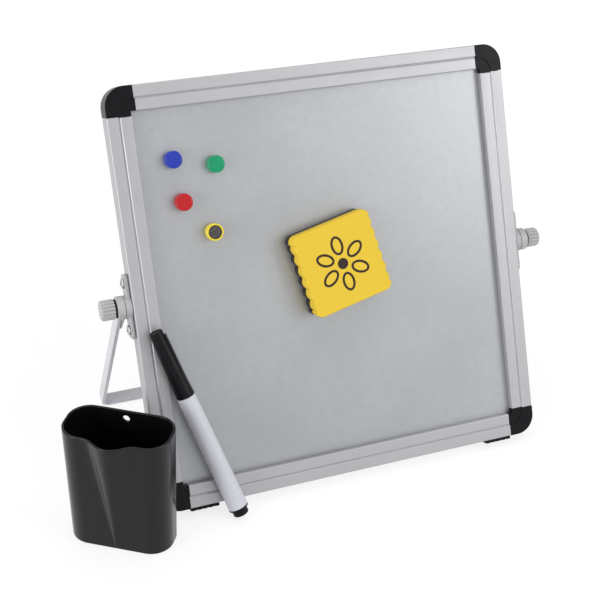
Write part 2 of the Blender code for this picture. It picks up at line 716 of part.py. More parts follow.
def magnet_cap():
    """A button magnet's cap about Z, open below for its disc."""
    edge = MAGNET_EDGE_RADIUS
    pocket = DISC_RADIUS + CLEARANCE
    depth = DISC_THICKNESS + CLEARANCE
    corner = (MAGNET_RADIUS - edge, MAGNET_HEIGHT - edge)
    profile = [(0, depth), (pocket, depth), (pocket, 0), (MAGNET_RADIUS, 0)]
    profile += arc(corner, edge, 0, 1, ROUND_STEPS)
    profile += [(0, MAGNET_HEIGHT)]
    return turned(profile, FINE_SEGMENTS)


def make_magnets(board):
    """Four button magnets on the front sheet; the yellow one lies on its back and shows its disc."""
    towards_viewer = axes((1, 0, 0), (0, 0, 1), (0, -1, 0))
    for colour, (across_share, up_share) in MAGNET_PLACE_SHARES.items():
        place = ((across_share - 1 / 2) * BOARD_WIDTH, PANEL_RECESS - CLEARANCE, up_share * BOARD_HEIGHT)
        seat = add_empty(f"{colour}_magnet_seat", board, place)
        cap = magnet_cap()
        disc = cylinder(DISC_RADIUS, 0, DISC_THICKNESS, FINE_SEGMENTS)
        if colour == "yellow":
            over = Matrix.Translation((0, 0, MAGNET_HEIGHT)) @ axes((1, 0, 0), (0, -1, 0), (0, 0, -1))
            cap = moved(cap, over)
            disc = moved(disc, over)
        add_piece(f"{colour}_magnet_cap", moved(cap, towards_viewer), seat, f"{colour}_plastic")
        add_piece(f"{colour}_magnet_disc", moved(disc, towards_viewer), seat, "ferrite")


def eraser_outline():
    """The eraser's outline: straight above and below, scalloped at the sides."""
    corners = rounded_rectangle(ERASER_WIDTH, ERASER_HEIGHT, ERASER_CORNER_RADIUS, ROUND_STEPS)
    reach = ERASER_HEIGHT / 2 - ERASER_CORNER_RADIUS
    steps = 4 * SCALLOP_COUNT
    waves = []
    for i in range(1, steps):
        share = i / steps
        dip = SCALLOP_DEPTH * abs(math.sin(math.pi * SCALLOP_COUNT * share))
        waves.append((ERASER_WIDTH / 2 - SCALLOP_DEPTH + dip, -reach + 2 * reach * share))
    per_corner = ROUND_STEPS + 1
    left = [(-x, -y) for x, y in waves]
    return corners[: 2 * per_corner] + left + corners[2 * per_corner :] + waves


def make_eraser(board):
    """The foam eraser on the front sheet, with its felt and the magnet strip let into the foam."""
    across_share, up_share = ERASER_PLACE_SHARES
    place = ((across_share - 1 / 2) * BOARD_WIDTH, PANEL_RECESS - CLEARANCE, up_share * BOARD_HEIGHT)
    seat = add_empty("eraser_seat", board, place, (0, -ERASER_TURN, 0))
    foam_back = -FELT_THICKNESS - CLEARANCE
    foam_front = foam_back - FOAM_THICKNESS
    outline = eraser_outline()
    add_piece("eraser_felt", facing_y(prism(outline, -FELT_THICKNESS, 0)), seat, "dark_felt")
    foam_shape = facing_y(prism(outline, foam_front, foam_back, FOAM_CHAMFER))
    foam = add_piece("eraser_foam", foam_shape, seat, "yellow_foam")
    half_length = STRIP_LENGTH / 2
    half_width = STRIP_WIDTH / 2
    gap = CLEARANCE
    pocket = block(
        (-half_length - gap, foam_back - STRIP_THICKNESS - gap, -half_width - gap),
        (half_length + gap, foam_back + CUT_OVERRUN, half_width + gap),
    )
    cut(foam, pocket)
    low = (-half_length, foam_back - STRIP_THICKNESS, -half_width)
    add_piece("eraser_magnet_strip", block(low, (half_length, foam_back, half_width)), seat, "magnet_rubber")


def make_marker(marker):
    """The marker's pieces, turned about Z up from its end plug."""
    edge = PLUG_EDGE_RADIUS
    spigot = BARREL_BORE_RADIUS - CLEARANCE
    flange = PLUG_LENGTH + PLUG_FLANGE_THICKNESS
    profile = [(0, 0)]
    profile += arc((PLUG_RADIUS - edge, edge), edge, 3, 4, ROUND_STEPS // 2)
    profile += [(PLUG_RADIUS, PLUG_LENGTH), (BARREL_LOWER_RADIUS, PLUG_LENGTH), (BARREL_LOWER_RADIUS, flange)]
    profile += [(spigot, flange), (spigot, flange + PLUG_SPIGOT_LENGTH), (0, flange + PLUG_SPIGOT_LENGTH)]
    add_piece("marker_end_plug", turned(profile, FINE_SEGMENTS), marker, "black_plastic")

    bore = BARREL_BORE_RADIUS
    tube = [(bore, BARREL_START), (BARREL_LOWER_RADIUS, BARREL_START)]
    tube += [(BARREL_UPPER_RADIUS, BARREL_END), (bore, BARREL_END)]
    add_piece("marker_barrel", turned(tube, FINE_SEGMENTS, ring=True), marker, "white_plastic")

    shoulder = BARREL_END + CLEARANCE
    tip = shoulder + HOLDER_NECK_LENGTH
    nib_bore = NIB_RADIUS + CLEARANCE
    start = BARREL_END - HOLDER_SPIGOT_LENGTH
    holder = [(nib_bore, start), (spigot, start), (spigot, shoulder), (HOLDER_NECK_RADIUS, shoulder)]
    holder += [(HOLDER_TIP_RADIUS, tip), (nib_bore, tip)]
    add_piece("marker_nib_holder", turned(holder, FINE_SEGMENTS, ring=True), marker, "black_plastic")

    end = tip + NIB_REACH
    dome = arc((0, end - NIB_RADIUS), NIB_RADIUS, 0, 1, ROUND_STEPS)
    nib = [(0, start), (NIB_RADIUS, start), *dome[:-1], (0, end)]
    add_piece("marker_nib", turned(nib, COARSE_SEGMENTS), marker, "ink_fibre")

    foot = flange + PLUG_SPIGOT_LENGTH + RESERVOIR_GAP
    rod = cylinder(RESERVOIR_RADIUS, foot, start - CLEARANCE, COARSE_SEGMENTS)
    add_piece("marker_ink_reservoir", rod, marker, "ink_fibre")


def make_pen_cap(axis):
    """The marker's cap, open below, on an empty at its mouth."""
    ceiling = PEN_CAP_LENGTH - PEN_CAP_TOP_THICKNESS
    mouth = BARREL_UPPER_RADIUS - PEN_CAP_WALL
    edge = PEN_CAP_EDGE_RADIUS
    narrow = PEN_CAP_UPPER_RADIUS - PEN_CAP_WALL
    profile = [(0, ceiling), (narrow, ceiling), (mouth, 0)]
    profile += arc((BARREL_UPPER_RADIUS - edge, edge), edge, 3, 4, ROUND_STEPS // 2)
    profile += arc((PEN_CAP_UPPER_RADIUS - edge, PEN_CAP_LENGTH - edge), edge, 0, 1, ROUND_STEPS // 2)
    profile += [(0, PEN_CAP_LENGTH)]
    cap = add_piece("marker_cap", turned(profile, FINE_SEGMENTS), axis, "black_plastic")
    clip = block(
        (PEN_CAP_UPPER_RADIUS - PEN_CAP_WALL / 4, -CLIP_WIDTH / 2, CLIP_FOOT_RISE),
        (PEN_CAP_UPPER_RADIUS + CLIP_RISE, CLIP_WIDTH / 2, PEN_CAP_LENGTH - CLIP_TOP_DROP),
    )
    weld(cap, moved(clip, Matrix.Rotation(CLIP_TURN, 4, "Z")))


def cup_outline(height, inset):
    """The cup's outline at a height, moved in by an inset; its front is towards -Y."""
    share = height / CUP_HEIGHT
    shrink = CUP_TAPER * (1 - share) + inset
    x = CUP_WIDTH / 2 - shrink
    y = CUP_DEPTH / 2 - shrink
    radius = CUP_CORNER_RADIUS - inset
    swell_half = CUP_SWELL_WIDTH / 2 * share
    steps = 2 * ROUND_STEPS
    swell = []
    for i in range(-steps, steps + 1):
        crown = math.cos(math.pi / 2 * i / steps)
        swell.append((swell_half * i / steps, -y - CUP_SWELL * share * crown))
    outline = swell
    outline += arc((x - radius, radius - y), radius, 3, 4, steps)
    outline += arc((x - radius, y - radius), radius, 0, 1, steps)
    outline += arc((radius - x, y - radius), radius, 1, 2, steps)
    outline += arc((radius - x, radius - y), radius, 2, 3, steps)
    return outline


def make_cup(seat):
    """The pen cup on its seat, with the round hole through its back wall."""
    lip = CUP_WALL / 4
    foot = CUP_FOOT_CHAMFER
    sections = [
        (cup_outline(0, foot), 0),
        (cup_outline(foot, 0), foot),
        (cup_outline(CUP_HEIGHT - lip, 0), CUP_HEIGHT - lip),
        (cup_outline(CUP_HEIGHT, lip), CUP_HEIGHT),
        (cup_outline(CUP_HEIGHT, CUP_WALL - lip), CUP_HEIGHT),
        (cup_outline(CUP_HEIGHT - lip, CUP_WALL), CUP_HEIGHT - lip),
        (cup_outline(CUP_FLOOR + foot, CUP_WALL), CUP_FLOOR + foot),
        (cup_outline(CUP_FLOOR, CUP_WALL + foot), CUP_FLOOR),
    ]
    cup = add_piece("pen_cup", loft(sections), seat, "cup_plastic")
    hole = cylinder(CUP_HOLE_RADIUS, 0, CUP_DEPTH, COARSE_SEGMENTS)
    up = CUP_HEIGHT - CUP_HOLE_DROP
    cut(cup, moved(facing_y(hole), Matrix.Translation((-CUP_HOLE_OFFSET, 0, up))))


def board_lift():
    """Height of the board's lower front edge, with the rear edge of its pads on the ground."""
    rear = FRAME_DEPTH / 2 + PAD_WIDTH / 2 - PAD_CHAMFER
    return rear * math.sin(BOARD_LEAN) + PAD_DROP * math.cos(BOARD_LEAN)


def pivot_place():
    """Place of the pivot axis, half way up the board and behind the middle of its depth."""
    pivot = Matrix.Rotation(-BOARD_LEAN, 3, "X") @ Vector((0, PIVOT_DEPTH, BOARD_HEIGHT / 2))
    return Vector((pivot.x, pivot.y, pivot.z + board_lift()))


def leg_reach(pivot_height):
    """Length of the leaning legs that puts the crossbar's lower corner on the ground."""
    return (pivot_height - LEG_CORNER * math.sin(LEG_LEAN)) / math.cos(LEG_LEAN)


def marker_foot():
    """Place of the marker's lower end in the board's frame, with its plug's rim on the ground."""
    rise = math.cos(BOARD_LEAN) * math.cos(MARKER_LEAN)
    rim = PLUG_RADIUS - PLUG_EDGE_RADIUS
    height = rim * math.sqrt(1 - rise * rise) + PLUG_EDGE_RADIUS * (1 - rise)
    up = height - board_lift() - MARKER_STANDOFF * math.sin(BOARD_LEAN)
    across = (MARKER_FOOT_SHARE - 1 / 2) * BOARD_WIDTH
    return (across, -MARKER_STANDOFF, up / math.cos(BOARD_LEAN))


def centre_on_origin(easel):
    """Move the whole easel so that its box stands centred on the origin."""
    bpy.context.view_layer.update()
    depsgraph = bpy.context.evaluated_depsgraph_get()
    corners = []
    for piece in bpy.data.objects:
        if piece.type == "MESH" and not piece.hide_render:
            shape = piece.evaluated_get(depsgraph)
            corners += [shape.matrix_world @ vertex.co for vertex in shape.data.vertices]
    for axis in (0, 1):
        low = min(corner[axis] for corner in corners)
        high = max(corner[axis] for corner in corners)
        easel.location[axis] -= (low + high) / 2
    easel.location[2] -= min(corner[2] for corner in corners)


def main():
    """Build the easel in an empty scene."""
    for old in list(bpy.data.objects):
        bpy.data.objects.remove(old, do_unlink=True)

    easel = add_empty("easel")
    board = add_empty("board", easel, (0, 0, board_lift()), (-BOARD_LEAN, 0, 0))
    make_rails(board)
    make_corner_caps(board)
    make_panel(board)
    make_pads(board)
    make_pivots(board)
    make_knobs(board)
    make_magnets(board)
    make_eraser(board)

    pivot = pivot_place()
    make_stand(add_empty("stand_pivot", easel, pivot, (LEG_LEAN, 0, 0)), leg_reach(pivot.z))

    marker = add_empty("marker_axis", board, marker_foot(), (0, -MARKER_LEAN, 0))
    make_marker(marker)
    make_pen_cap(add_empty("marker_cap_axis", marker, (0, 0, PEN_CAP_START)))

    cup_place = (-BOARD_WIDTH / 2 - CUP_SIDE_GAP, CUP_SETBACK, 0)
    make_cup(add_empty("cup_seat", easel, cup_place, (0, 0, CUP_TURN)))
    centre_on_origin(easel)


main()
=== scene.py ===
"""Looks of a desktop whiteboard easel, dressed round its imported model.

Each piece is modelled in the frame of what carries it and then moved to its place, in metres with +Z up.
"""

import json
import logging
import math
from collections.abc import Sequence
from dataclasses import dataclass
from enum import Enum

import bmesh
import bpy
from bmesh.types import BMEdge, BMesh, BMVert
from bpy.types import ID, Material, Mesh, Node, NodeSocket, NodeTree, Object
from mathutils import Matrix, Vector, noise


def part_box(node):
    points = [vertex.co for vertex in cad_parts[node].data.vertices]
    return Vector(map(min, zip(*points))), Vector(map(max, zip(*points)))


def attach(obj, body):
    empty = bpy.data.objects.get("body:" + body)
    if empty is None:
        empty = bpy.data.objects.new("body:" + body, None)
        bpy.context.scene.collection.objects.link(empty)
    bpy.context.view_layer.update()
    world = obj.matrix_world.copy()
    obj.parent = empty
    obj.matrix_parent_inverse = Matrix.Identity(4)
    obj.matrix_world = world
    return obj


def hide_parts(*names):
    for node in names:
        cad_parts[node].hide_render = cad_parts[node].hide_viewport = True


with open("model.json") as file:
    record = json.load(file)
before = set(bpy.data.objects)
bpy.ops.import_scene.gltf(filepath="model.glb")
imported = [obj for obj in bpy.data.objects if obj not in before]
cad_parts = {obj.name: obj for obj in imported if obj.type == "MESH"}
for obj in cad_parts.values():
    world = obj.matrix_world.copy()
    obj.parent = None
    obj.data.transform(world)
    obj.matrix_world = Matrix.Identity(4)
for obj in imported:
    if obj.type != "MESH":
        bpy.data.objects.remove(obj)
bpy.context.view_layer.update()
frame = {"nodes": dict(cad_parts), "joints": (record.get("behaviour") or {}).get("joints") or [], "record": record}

MM = 0.001
QUARTER = math.pi / 2
# The gap between neighbouring pieces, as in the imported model
CLEARANCE = 0.3 * MM
# How far a cutting shape passes what it cuts
OVERRUN = 2.0 * MM
# Points nearer than this are one
MERGE_DISTANCE = 0.001 * MM
# The four quadrants, each with the quarter turn that starts in it
CORNERS = ((1, 1), (-1, 1), (-1, -1), (1, -1))
WHITE = (1, 1, 1, 1)
LEAST_ROUGHNESS = 0.02
# The values that soft noise takes
NOISE_SPAN = {"From Min": 0.3, "From Max": 0.7}
LOG = logging.getLogger("easel")

Point = tuple[float, float]
Point3 = tuple[float, float, float]


class Side(Enum):
    """The two sides of the board."""

    LEFT = -1
    RIGHT = 1

    @property
    def label(self) -> str:
        """The side's word in the names of nodes."""
        return self.name.lower()

    @property
    def turn(self) -> float:
        """The turn that points X out of this side."""
        return 0 if self is Side.RIGHT else math.pi


class Join(Enum):
    """How a tool shape changes a piece."""

    CUT = "DIFFERENCE"
    WELD = "UNION"


class Lines(Enum):
    """The way that drawn or brushed lines run in the board's frame."""

    ACROSS = (60.0, 1.0, 1.0)
    UPWARDS = (1.0, 1.0, 60.0)


def linear(code: str, factor: float = 1.0) -> tuple[float, float, float, float]:
    """The linear colour of an sRGB hex value.

    Args:
        code: Six hex digits.
        factor: What the linear colour is multiplied by.

    Returns:
        Red, green, blue and an alpha of 1.
    """
    channels = [int(code[i : i + 2], 16) / 255 for i in (0, 2, 4)]
    light = [c / 12.92 if c <= 0.04045 else ((c + 0.055) / 1.055) ** 2.4 for c in channels]
    red, green, blue = (min(1.0, c * factor) for c in light)
    return red, green, blue, 1.0


def add_node(tree: NodeTree, kind: str, inputs: dict | None = None, **settings: str) -> Node:
    """Add a shader node with its settings, values and links.

    Args:
        tree: The tree that gets the node.
        kind: The node's type, after the word that all of them start with.
        inputs: For each socket's name or number, a value or the socket to link to it.
        settings: Properties of the node.

    Returns:
        The new node.
    """
    node = tree.nodes.new(f"ShaderNode{kind}")
    for key, value in settings.items():
        setattr(node, key, value)
    for key, value in (inputs or {}).items():
        if isinstance(value, NodeSocket):
            tree.links.new(value, node.inputs[key])
        else:
            node.inputs[key].default_value = value
    return node


@dataclass(frozen=True)
class Surface:
    """A material in the making: its shader, and its coordinates plain and drawn out along its lines."""

    tree: NodeTree
    shader: Node
    flat: NodeSocket
    drawn: NodeSocket

    def add(self, kind: str, inputs: dict, **settings: str) -> NodeSocket:
        """The first output of a new node."""
        return add_node(self.tree, kind, inputs, **settings).outputs[0]

    def texture(self, kind: str, where: NodeSocket, size: float, **inputs: float) -> NodeSocket:
        """The first output of a new texture, whose features have a size in metres."""
        return self.add(f"Tex{kind}", {"Vector": where, "Scale": 1 / size, **inputs})

    def show(self, socket: str, value: NodeSocket) -> None:
        """Link a value to one of the shader's sockets."""
        self.tree.links.new(value, self.shader.inputs[socket])

    def blend(self, share: NodeSocket, low: Sequence[float], high: Sequence[float]) -> None:
        """Colour the surface between two colours."""
        mix = add_node(self.tree, "Mix", {"Factor": share, "A": low, "B": high}, data_type="RGBA")
        self.show("Base Color", mix.outputs["Result"])


@dataclass(frozen=True)
class Finish:
    """A surface finish: its Principled values and the fine pattern that its making leaves."""

    name: str
    slot: str
    colour: str
    roughness: float
    metallic: float = 0.0
    specular: float = 0.5
    sheen: float = 0.0
    mottle: float = 0.03
    mottle_size: float = 14.0 * MM
    smudge: float = 0.05
    smudge_size: float = 9.0 * MM
    grain: float = 0.02 * MM
    grain_size: float = 0.9 * MM
    grain_detail: float = 2.0

    def material(self, place: Matrix, lines: Lines | None = None) -> Material:
        """The material of this finish, made once for each way that its lines run.

        Args:
            place: The frame that the pattern is laid out in.
            lines: The way that drawn lines run, if it has any.

        Returns:
            The material.
        """
        name = self.name if lines is None else f"{self.name}_{lines.name.lower()}"
        if name in bpy.data.materials:
            return bpy.data.materials[name]
        material = bpy.data.materials.new(name)
        material.use_nodes = True
        tree = material.node_tree
        shader = tree.nodes["Principled BSDF"]
        shader.inputs["Metallic"].default_value = self.metallic
        shader.inputs["Specular IOR Level"].default_value = self.specular
        shader.inputs["Sheen Weight"].default_value = self.sheen
        where = add_node(tree, "TexCoord").outputs["Object"]
        spread = {"Vector": where, "Location": place.translation, "Rotation": place.to_euler()}
        flat = drawn = add_node(tree, "Mapping", spread, vector_type="TEXTURE")
        if lines is not None:
            drawn = add_node(tree, "Mapping", {**spread, "Scale": lines.value}, vector_type="TEXTURE")
        self.pattern(Surface(tree, shader, flat.outputs[0], drawn.outputs[0]))
        return material

    def pattern(self, on: Surface) -> None:
        """Lay a pattern of colour, gloss and relief on a surface.

        Args:
            on: The surface.
        """
        self.colour_by(on, on.texture("Noise", on.flat, self.mottle_size))
        self.gloss_by(on, on.texture("Noise", on.drawn, self.smudge_size))
        self.relief_by(on, on.texture("Noise", on.drawn, self.grain_size, Detail=self.grain_detail))

    def colour_by(self, on: Surface, share: NodeSocket) -> None:
        """Vary a surface's colour a little with a value around a half."""
        on.blend(share, linear(self.colour, 1 - self.mottle), linear(self.colour, 1 + self.mottle))

    def gloss_by(self, on: Surface, share: NodeSocket) -> None:
        """Vary a surface's roughness a little.

        Args:
            on: The surface.
            share: A value around a half.
        """
        low = max(LEAST_ROUGHNESS, self.roughness - self.smudge)
        high = min(1.0, self.roughness + self.smudge)
        spread = {"Value": share, **NOISE_SPAN, "To Min": low, "To Max": high}
        on.show("Roughness", on.add("MapRange", spread))

    def relief_by(self, on: Surface, height: NodeSocket) -> None:
        """Raise fine relief from a height, from 0 to 1 of the grain's."""
        on.show("Normal", on.add("Bump", {"Strength": 1.0, "Distance": self.grain, "Height": height}))


@dataclass(frozen=True)
class CellularFoam(Finish):
    """Closed-cell foam, skinned by its print, with open pores at its cut sides."""

    pore_size: float = 1.1 * MM

    def pattern(self, on: Surface) -> None:
        """Lay cells over the foam.

        Args:
            on: The surface.
        """
        cells = on.texture("Voronoi", on.drawn, self.pore_size)
        self.colour_by(on, on.texture("Noise", on.flat, self.mottle_size))
        self.gloss_by(on, cells)
        self.relief_by(on, cells)


@dataclass(frozen=True)
class PressedFelt(Finish):
    """Pressed felt: short fibres lying every way."""

    fibre_size: float = 1.4 * MM
    fibre_stretch: Point3 = (5.0, 1.0, 1.0)
    fibre_detail: float = 6.0
    tuft_detail: float = 5.0

    def pattern(self, on: Surface) -> None:
        """Cross two layers of fibres.

        Args:
            on: The surface.
        """
        stretch = {"Vector": on.drawn, "Scale": self.fibre_stretch}
        warp = on.add("Mapping", stretch, vector_type="TEXTURE")
        fibres = on.texture("Noise", warp, self.fibre_size, Detail=self.fibre_detail)
        tufts = on.texture("Noise", on.flat, self.grain_size, Detail=self.tuft_detail)
        both = on.add("Math", {0: fibres, 1: tufts}, operation="MAXIMUM")
        self.colour_by(on, both)
        self.gloss_by(on, tufts)
        self.relief_by(on, both)


@dataclass(frozen=True)
class SinteredFerrite(Finish):
    """Sintered ferrite: a dull grey-brown body with paler specks."""

    speck_colour: str = "6F6A66"
    speck_size: float = 0.8 * MM
    speck_detail: float = 3.0
    speck_span: Point = (0.52, 0.68)

    def pattern(self, on: Surface) -> None:
        """Scatter pale specks over the dark body.

        Args:
            on: The surface.
        """
        specks = on.texture("Noise", on.drawn, self.speck_size, Detail=self.speck_detail)
        low, high = self.speck_span
        share = on.add("MapRange", {"Value": specks, "From Min": low, "From Max": high})
        on.blend(share, linear(self.colour), linear(self.speck_colour))
        self.gloss_by(on, on.texture("Noise", on.flat, self.smudge_size))
        self.relief_by(on, specks)


@dataclass(frozen=True)
class CoatedSheet(Finish):
    """Coated steel sheet for dry markers: an even grey with faint clouds where it has been wiped."""

    cloud_size: float = 60.0 * MM
    wipe_size: float = 5.0 * MM
    cloud_detail: float = 3.0
    cloud_span: Point = (0.1, 0.4)

    def pattern(self, on: Surface) -> None:
        """Lay wide clouds and fine wipe marks over the coating.

        Args:
            on: The surface.
        """
        clouds = on.texture("Noise", on.flat, self.cloud_size, Detail=self.cloud_detail)
        wipes = on.texture("Noise", on.drawn, self.wipe_size, Detail=self.cloud_detail)
        both = on.add("Math", {0: clouds, 1: wipes}, operation="MULTIPLY")
        low, high = self.cloud_span
        self.colour_by(on, on.add("MapRange", {"Value": both, "From Min": low, "From Max": high}))
        self.gloss_by(on, clouds)
        self.relief_by(on, on.texture("Noise", on.flat, self.grain_size, Detail=self.grain_detail))


# Satin anodised aluminium: a soft white sheen, with fine lines drawn along each extrusion
ANODISED = Finish(
    "anodised_aluminium", "anodised_aluminium", "B0B0B3", 0.38, metallic=0.45, mottle=0.04, smudge=0.06,
    smudge_size=1.6 * MM, grain=0.012 * MM, grain_size=1.1 * MM, grain_detail=3.0,
)
# Moulded ABS with a fine spark-eroded texture: black, soft highlights
BLACK_ABS = Finish(
    "black_abs", "black_plastic", "0A0B0F", 0.34, specular=0.15, mottle=0.10, grain=0.015 * MM,
    grain_size=0.7 * MM,
)
# Polyester coating on steel, baked smooth: semi-gloss grey that mirrors its surroundings softly
SHEET = CoatedSheet(
    "coated_steel_sheet", "writing_sheet", "A9ABAE", 0.34, metallic=0.50, mottle=0.045, smudge=0.04,
    grain_size=6.0 * MM,
)
# Raw fibreboard: pressed brown fibres
FIBREBOARD = PressedFelt(
    "fibreboard", "fibreboard", "8B7355", 0.90, mottle=0.16, grain=0.08 * MM, grain_size=1.6 * MM,
    specular=0.2,
)
# Moulded ABS, light grey: even and softly glossy
GREY_ABS = Finish(
    "grey_abs", "grey_plastic", "B6B6B8", 0.46, specular=0.4, mottle=0.02, grain=0.015 * MM,
    grain_size=0.8 * MM,
)
# Baked powder coat on steel: pale grey with a slight orange peel
POWDER_COAT = Finish(
    "powder_coated_steel", "painted_bar", "CFCFD5", 0.40, mottle=0.02, grain=0.04 * MM,
    grain_size=1.5 * MM,
)
# Zinc-plated steel: bright, with faint turning marks
ZINC_PLATE = Finish(
    "zinc_plated_steel", "plated_steel", "B9BABC", 0.28, metallic=1.0, mottle=0.06, smudge=0.08,
    smudge_size=1.2 * MM, grain=0.01 * MM, grain_size=0.5 * MM,
)
# Moulded nitrile rubber: matt, near black
RUBBER = Finish(
    "moulded_rubber", "rubber", "101011", 0.82, specular=0.25, mottle=0.15, grain=0.03 * MM,
    grain_size=0.8 * MM,
)
# Flexible magnet strip: ferrite powder in rubber, dull brown-black
MAGNET_RUBBER = Finish(
    "magnet_rubber", "magnet_rubber", "2E2E30", 0.78, specular=0.3, mottle=0.12, grain=0.03 * MM
)
# Sintered ferrite, ground flat
FERRITE = SinteredFerrite(
    "sintered_ferrite", "ferrite", "35302D", 0.55, grain=0.05 * MM, smudge_size=2.0 * MM
)
# Moulded polypropylene: glossy and white
WHITE_PP = Finish(
    "white_polypropylene", "white_plastic", "D2D3DC", 0.28, mottle=0.015, grain=0.01 * MM,
    grain_size=2.4 * MM,
)
# Moulded polystyrene, black: a polished tool leaves it glossy
CUP_PS = Finish(
    "black_polystyrene", "cup_plastic", "101013", 0.15, specular=0.27, mottle=0.06, smudge=0.03,
    smudge_size=22.0 * MM, grain=0.03 * MM, grain_size=9.0 * MM,
)
# Bonded ink fibre: matt and near black
INK_FIBRE = PressedFelt("ink_fibre", "ink_fibre", "202024", 0.95, mottle=0.2, grain=0.04 * MM)
# Closed-cell foam, dyed through: matt and warm yellow
FOAM = CellularFoam("yellow_foam", "yellow_foam", "EBC83B", 0.78, specular=0.25, grain=0.05 * MM)
# Pressed wool felt, dark: soft, with a faint sheen at its edge
FELT = PressedFelt(
    "pressed_felt", "dark_felt", "241E1B", 0.95, specular=0.12, sheen=0.15, mottle=0.45, grain=0.12 * MM
)
# Screen-printed ink: a thin dark brown film
PRINT_INK = Finish(
    "screen_print_ink", "dark_felt", "2E1D16", 0.55, specular=0.3, mottle=0.12, mottle_size=3.0 * MM
)


def button_plastic(colour: str, code: str) -> Finish:
    """The moulded, glossy polypropylene of a magnet's cap, from its colour's word and sRGB hex value."""
    return Finish(
        f"{colour}_polypropylene", f"{colour}_plastic", code, 0.20, specular=0.38, mottle_size=3.0 * MM,
        grain=0.012 * MM, grain_size=0.6 * MM,
    )


def arc(centre: Point, radius: float, start: float, end: float, steps: int) -> list[Point]:
    """Points on an arc between two angles in quarter turns, one more than its steps."""
    angles = [(start + (end - start) * i / steps) * QUARTER for i in range(steps + 1)]
    return [(centre[0] + radius * math.cos(a), centre[1] + radius * math.sin(a)) for a in angles]


def oval(long: float, wide: float, steps: int = 40, phase: float = 0.0) -> list[Point]:
    """Points round an ellipse of two half sizes, the first one a share of a step past X."""
    angles = [2 * math.pi * (i + phase) / steps for i in range(steps)]
    return [(long * math.cos(a), wide * math.sin(a)) for a in angles]


def rounded_rectangle(width: float, height: float, radius: float, steps: int) -> list[Point]:
    """The outline of a rectangle about its centre, with steps in each of its round corners."""
    centres = [(x * (width / 2 - radius), y * (height / 2 - radius)) for x, y in CORNERS]
    return [p for i, centre in enumerate(centres) for p in arc(centre, radius, i, i + 1, steps)]


def at(point: Sequence[float], angle: float = 0.0, axis: str = "Z") -> Matrix:
    """A place with a turn about an axis."""
    return Matrix.Translation(point) @ Matrix.Rotation(angle, 4, axis)


def axes(x_to: Sequence[float], y_to: Sequence[float], z_to: Sequence[float]) -> Matrix:
    """A turn given by where the three axes go."""
    return Matrix((x_to, y_to, z_to)).transposed().to_4x4()


def moved(bm: BMesh, matrix: Matrix) -> BMesh:
    """Move a bmesh.

    Args:
        bm: The bmesh.
        matrix: The move.

    Returns:
        The same bmesh.
    """
    bmesh.ops.transform(bm, matrix=matrix, verts=bm.verts)
    if matrix.determinant() < 0:
        bmesh.ops.reverse_faces(bm, faces=bm.faces)
    return bm


def facing_y(bm: BMesh) -> BMesh:
    """Turn a prism drawn in XY along Z to be drawn in XZ along Y."""
    return moved(bm, axes((1, 0, 0), (0, 0, 1), (0, 1, 0)))


def facing_x(bm: BMesh) -> BMesh:
    """Turn a shape drawn or turned along Z to lie along X, drawn in YZ."""
    return moved(bm, axes((0, 1, 0), (0, 0, 1), (1, 0, 0)))


def block(low: Sequence[float], high: Sequence[float]) -> BMesh:
    """A box between two corners, used to cut or weld.

    Args:
        low: The lowest corner.
        high: The highest corner.

    Returns:
        The box.
    """
    bm = bmesh.new()
    bmesh.ops.create_cube(bm, size=1)
    bmesh.ops.scale(bm, vec=[b - a for a, b in zip(low, high)], verts=bm.verts)
    bmesh.ops.translate(bm, vec=[(a + b) / 2 for a, b in zip(low, high)], verts=bm.verts)
    return bm


def add_loop(bm: BMesh, points: Sequence[Sequence[float]]) -> list[BMEdge]:
    """Add a closed loop of edges through points and give its edges."""
    corners = [bm.verts.new(point) for point in points]
    return [bm.edges.new(pair) for pair in zip(corners, corners[1:] + corners[:1])]


def prism(outline: Sequence[Point], low: float, high: float, hole: Sequence[Point] = ()) -> BMesh:
    """Extrude an outline along Z.

    Args:
        outline: The outline in XY.
        low: The lower height.
        high: The upper height.
        hole: The outline of a hole through it.

    Returns:
        The closed solid.
    """
    bm = bmesh.new()
    add_loop(bm, [(x, y, low) for x, y in outline])
    if hole:
        add_loop(bm, [(x, y, low) for x, y in hole])
        bmesh.ops.triangle_fill(bm, use_beauty=True, edges=bm.edges)
    else:
        bmesh.ops.contextual_create(bm, geom=bm.edges[:])
    grown = bmesh.ops.extrude_face_region(bm, geom=bm.faces[:], use_keep_orig=True)
    lifted = [item for item in grown["geom"] if isinstance(item, BMVert)]
    bmesh.ops.translate(bm, verts=lifted, vec=(0, 0, high - low))
    bmesh.ops.recalc_face_normals(bm, faces=bm.faces)
    return bm


def turned(profile: Sequence[Point], segments: int = 64, ring: bool = False) -> BMesh:
    """Turn a profile about Z.

    Args:
        profile: Points of radius and height.
        segments: Segments of the full turn.
        ring: Whether the profile closes on itself.

    Returns:
        The closed solid.
    """
    bm = bmesh.new()
    corners = [bm.verts.new((radius, 0, height)) for radius, height in profile]
    ends = corners[1:] + corners[:1] if ring else corners[1:]
    for pair in zip(corners, ends):
        bm.edges.new(pair)
    bmesh.ops.spin(
        bm, geom=bm.verts[:] + bm.edges[:], axis=(0, 0, 1), cent=(0, 0, 0), angle=2 * math.pi,
        steps=segments, use_merge=True,
    )
    bmesh.ops.remove_doubles(bm, verts=bm.verts, dist=MERGE_DISTANCE)
    bmesh.ops.recalc_face_normals(bm, faces=bm.faces)
    return bm


def cylinder(radius: float, low: float, high: float, segments: int = 48) -> BMesh:
    """A plain cylinder about Z between two heights, used to cut."""
    return turned([(0, low), (radius, low), (radius, high), (0, high)], segments)


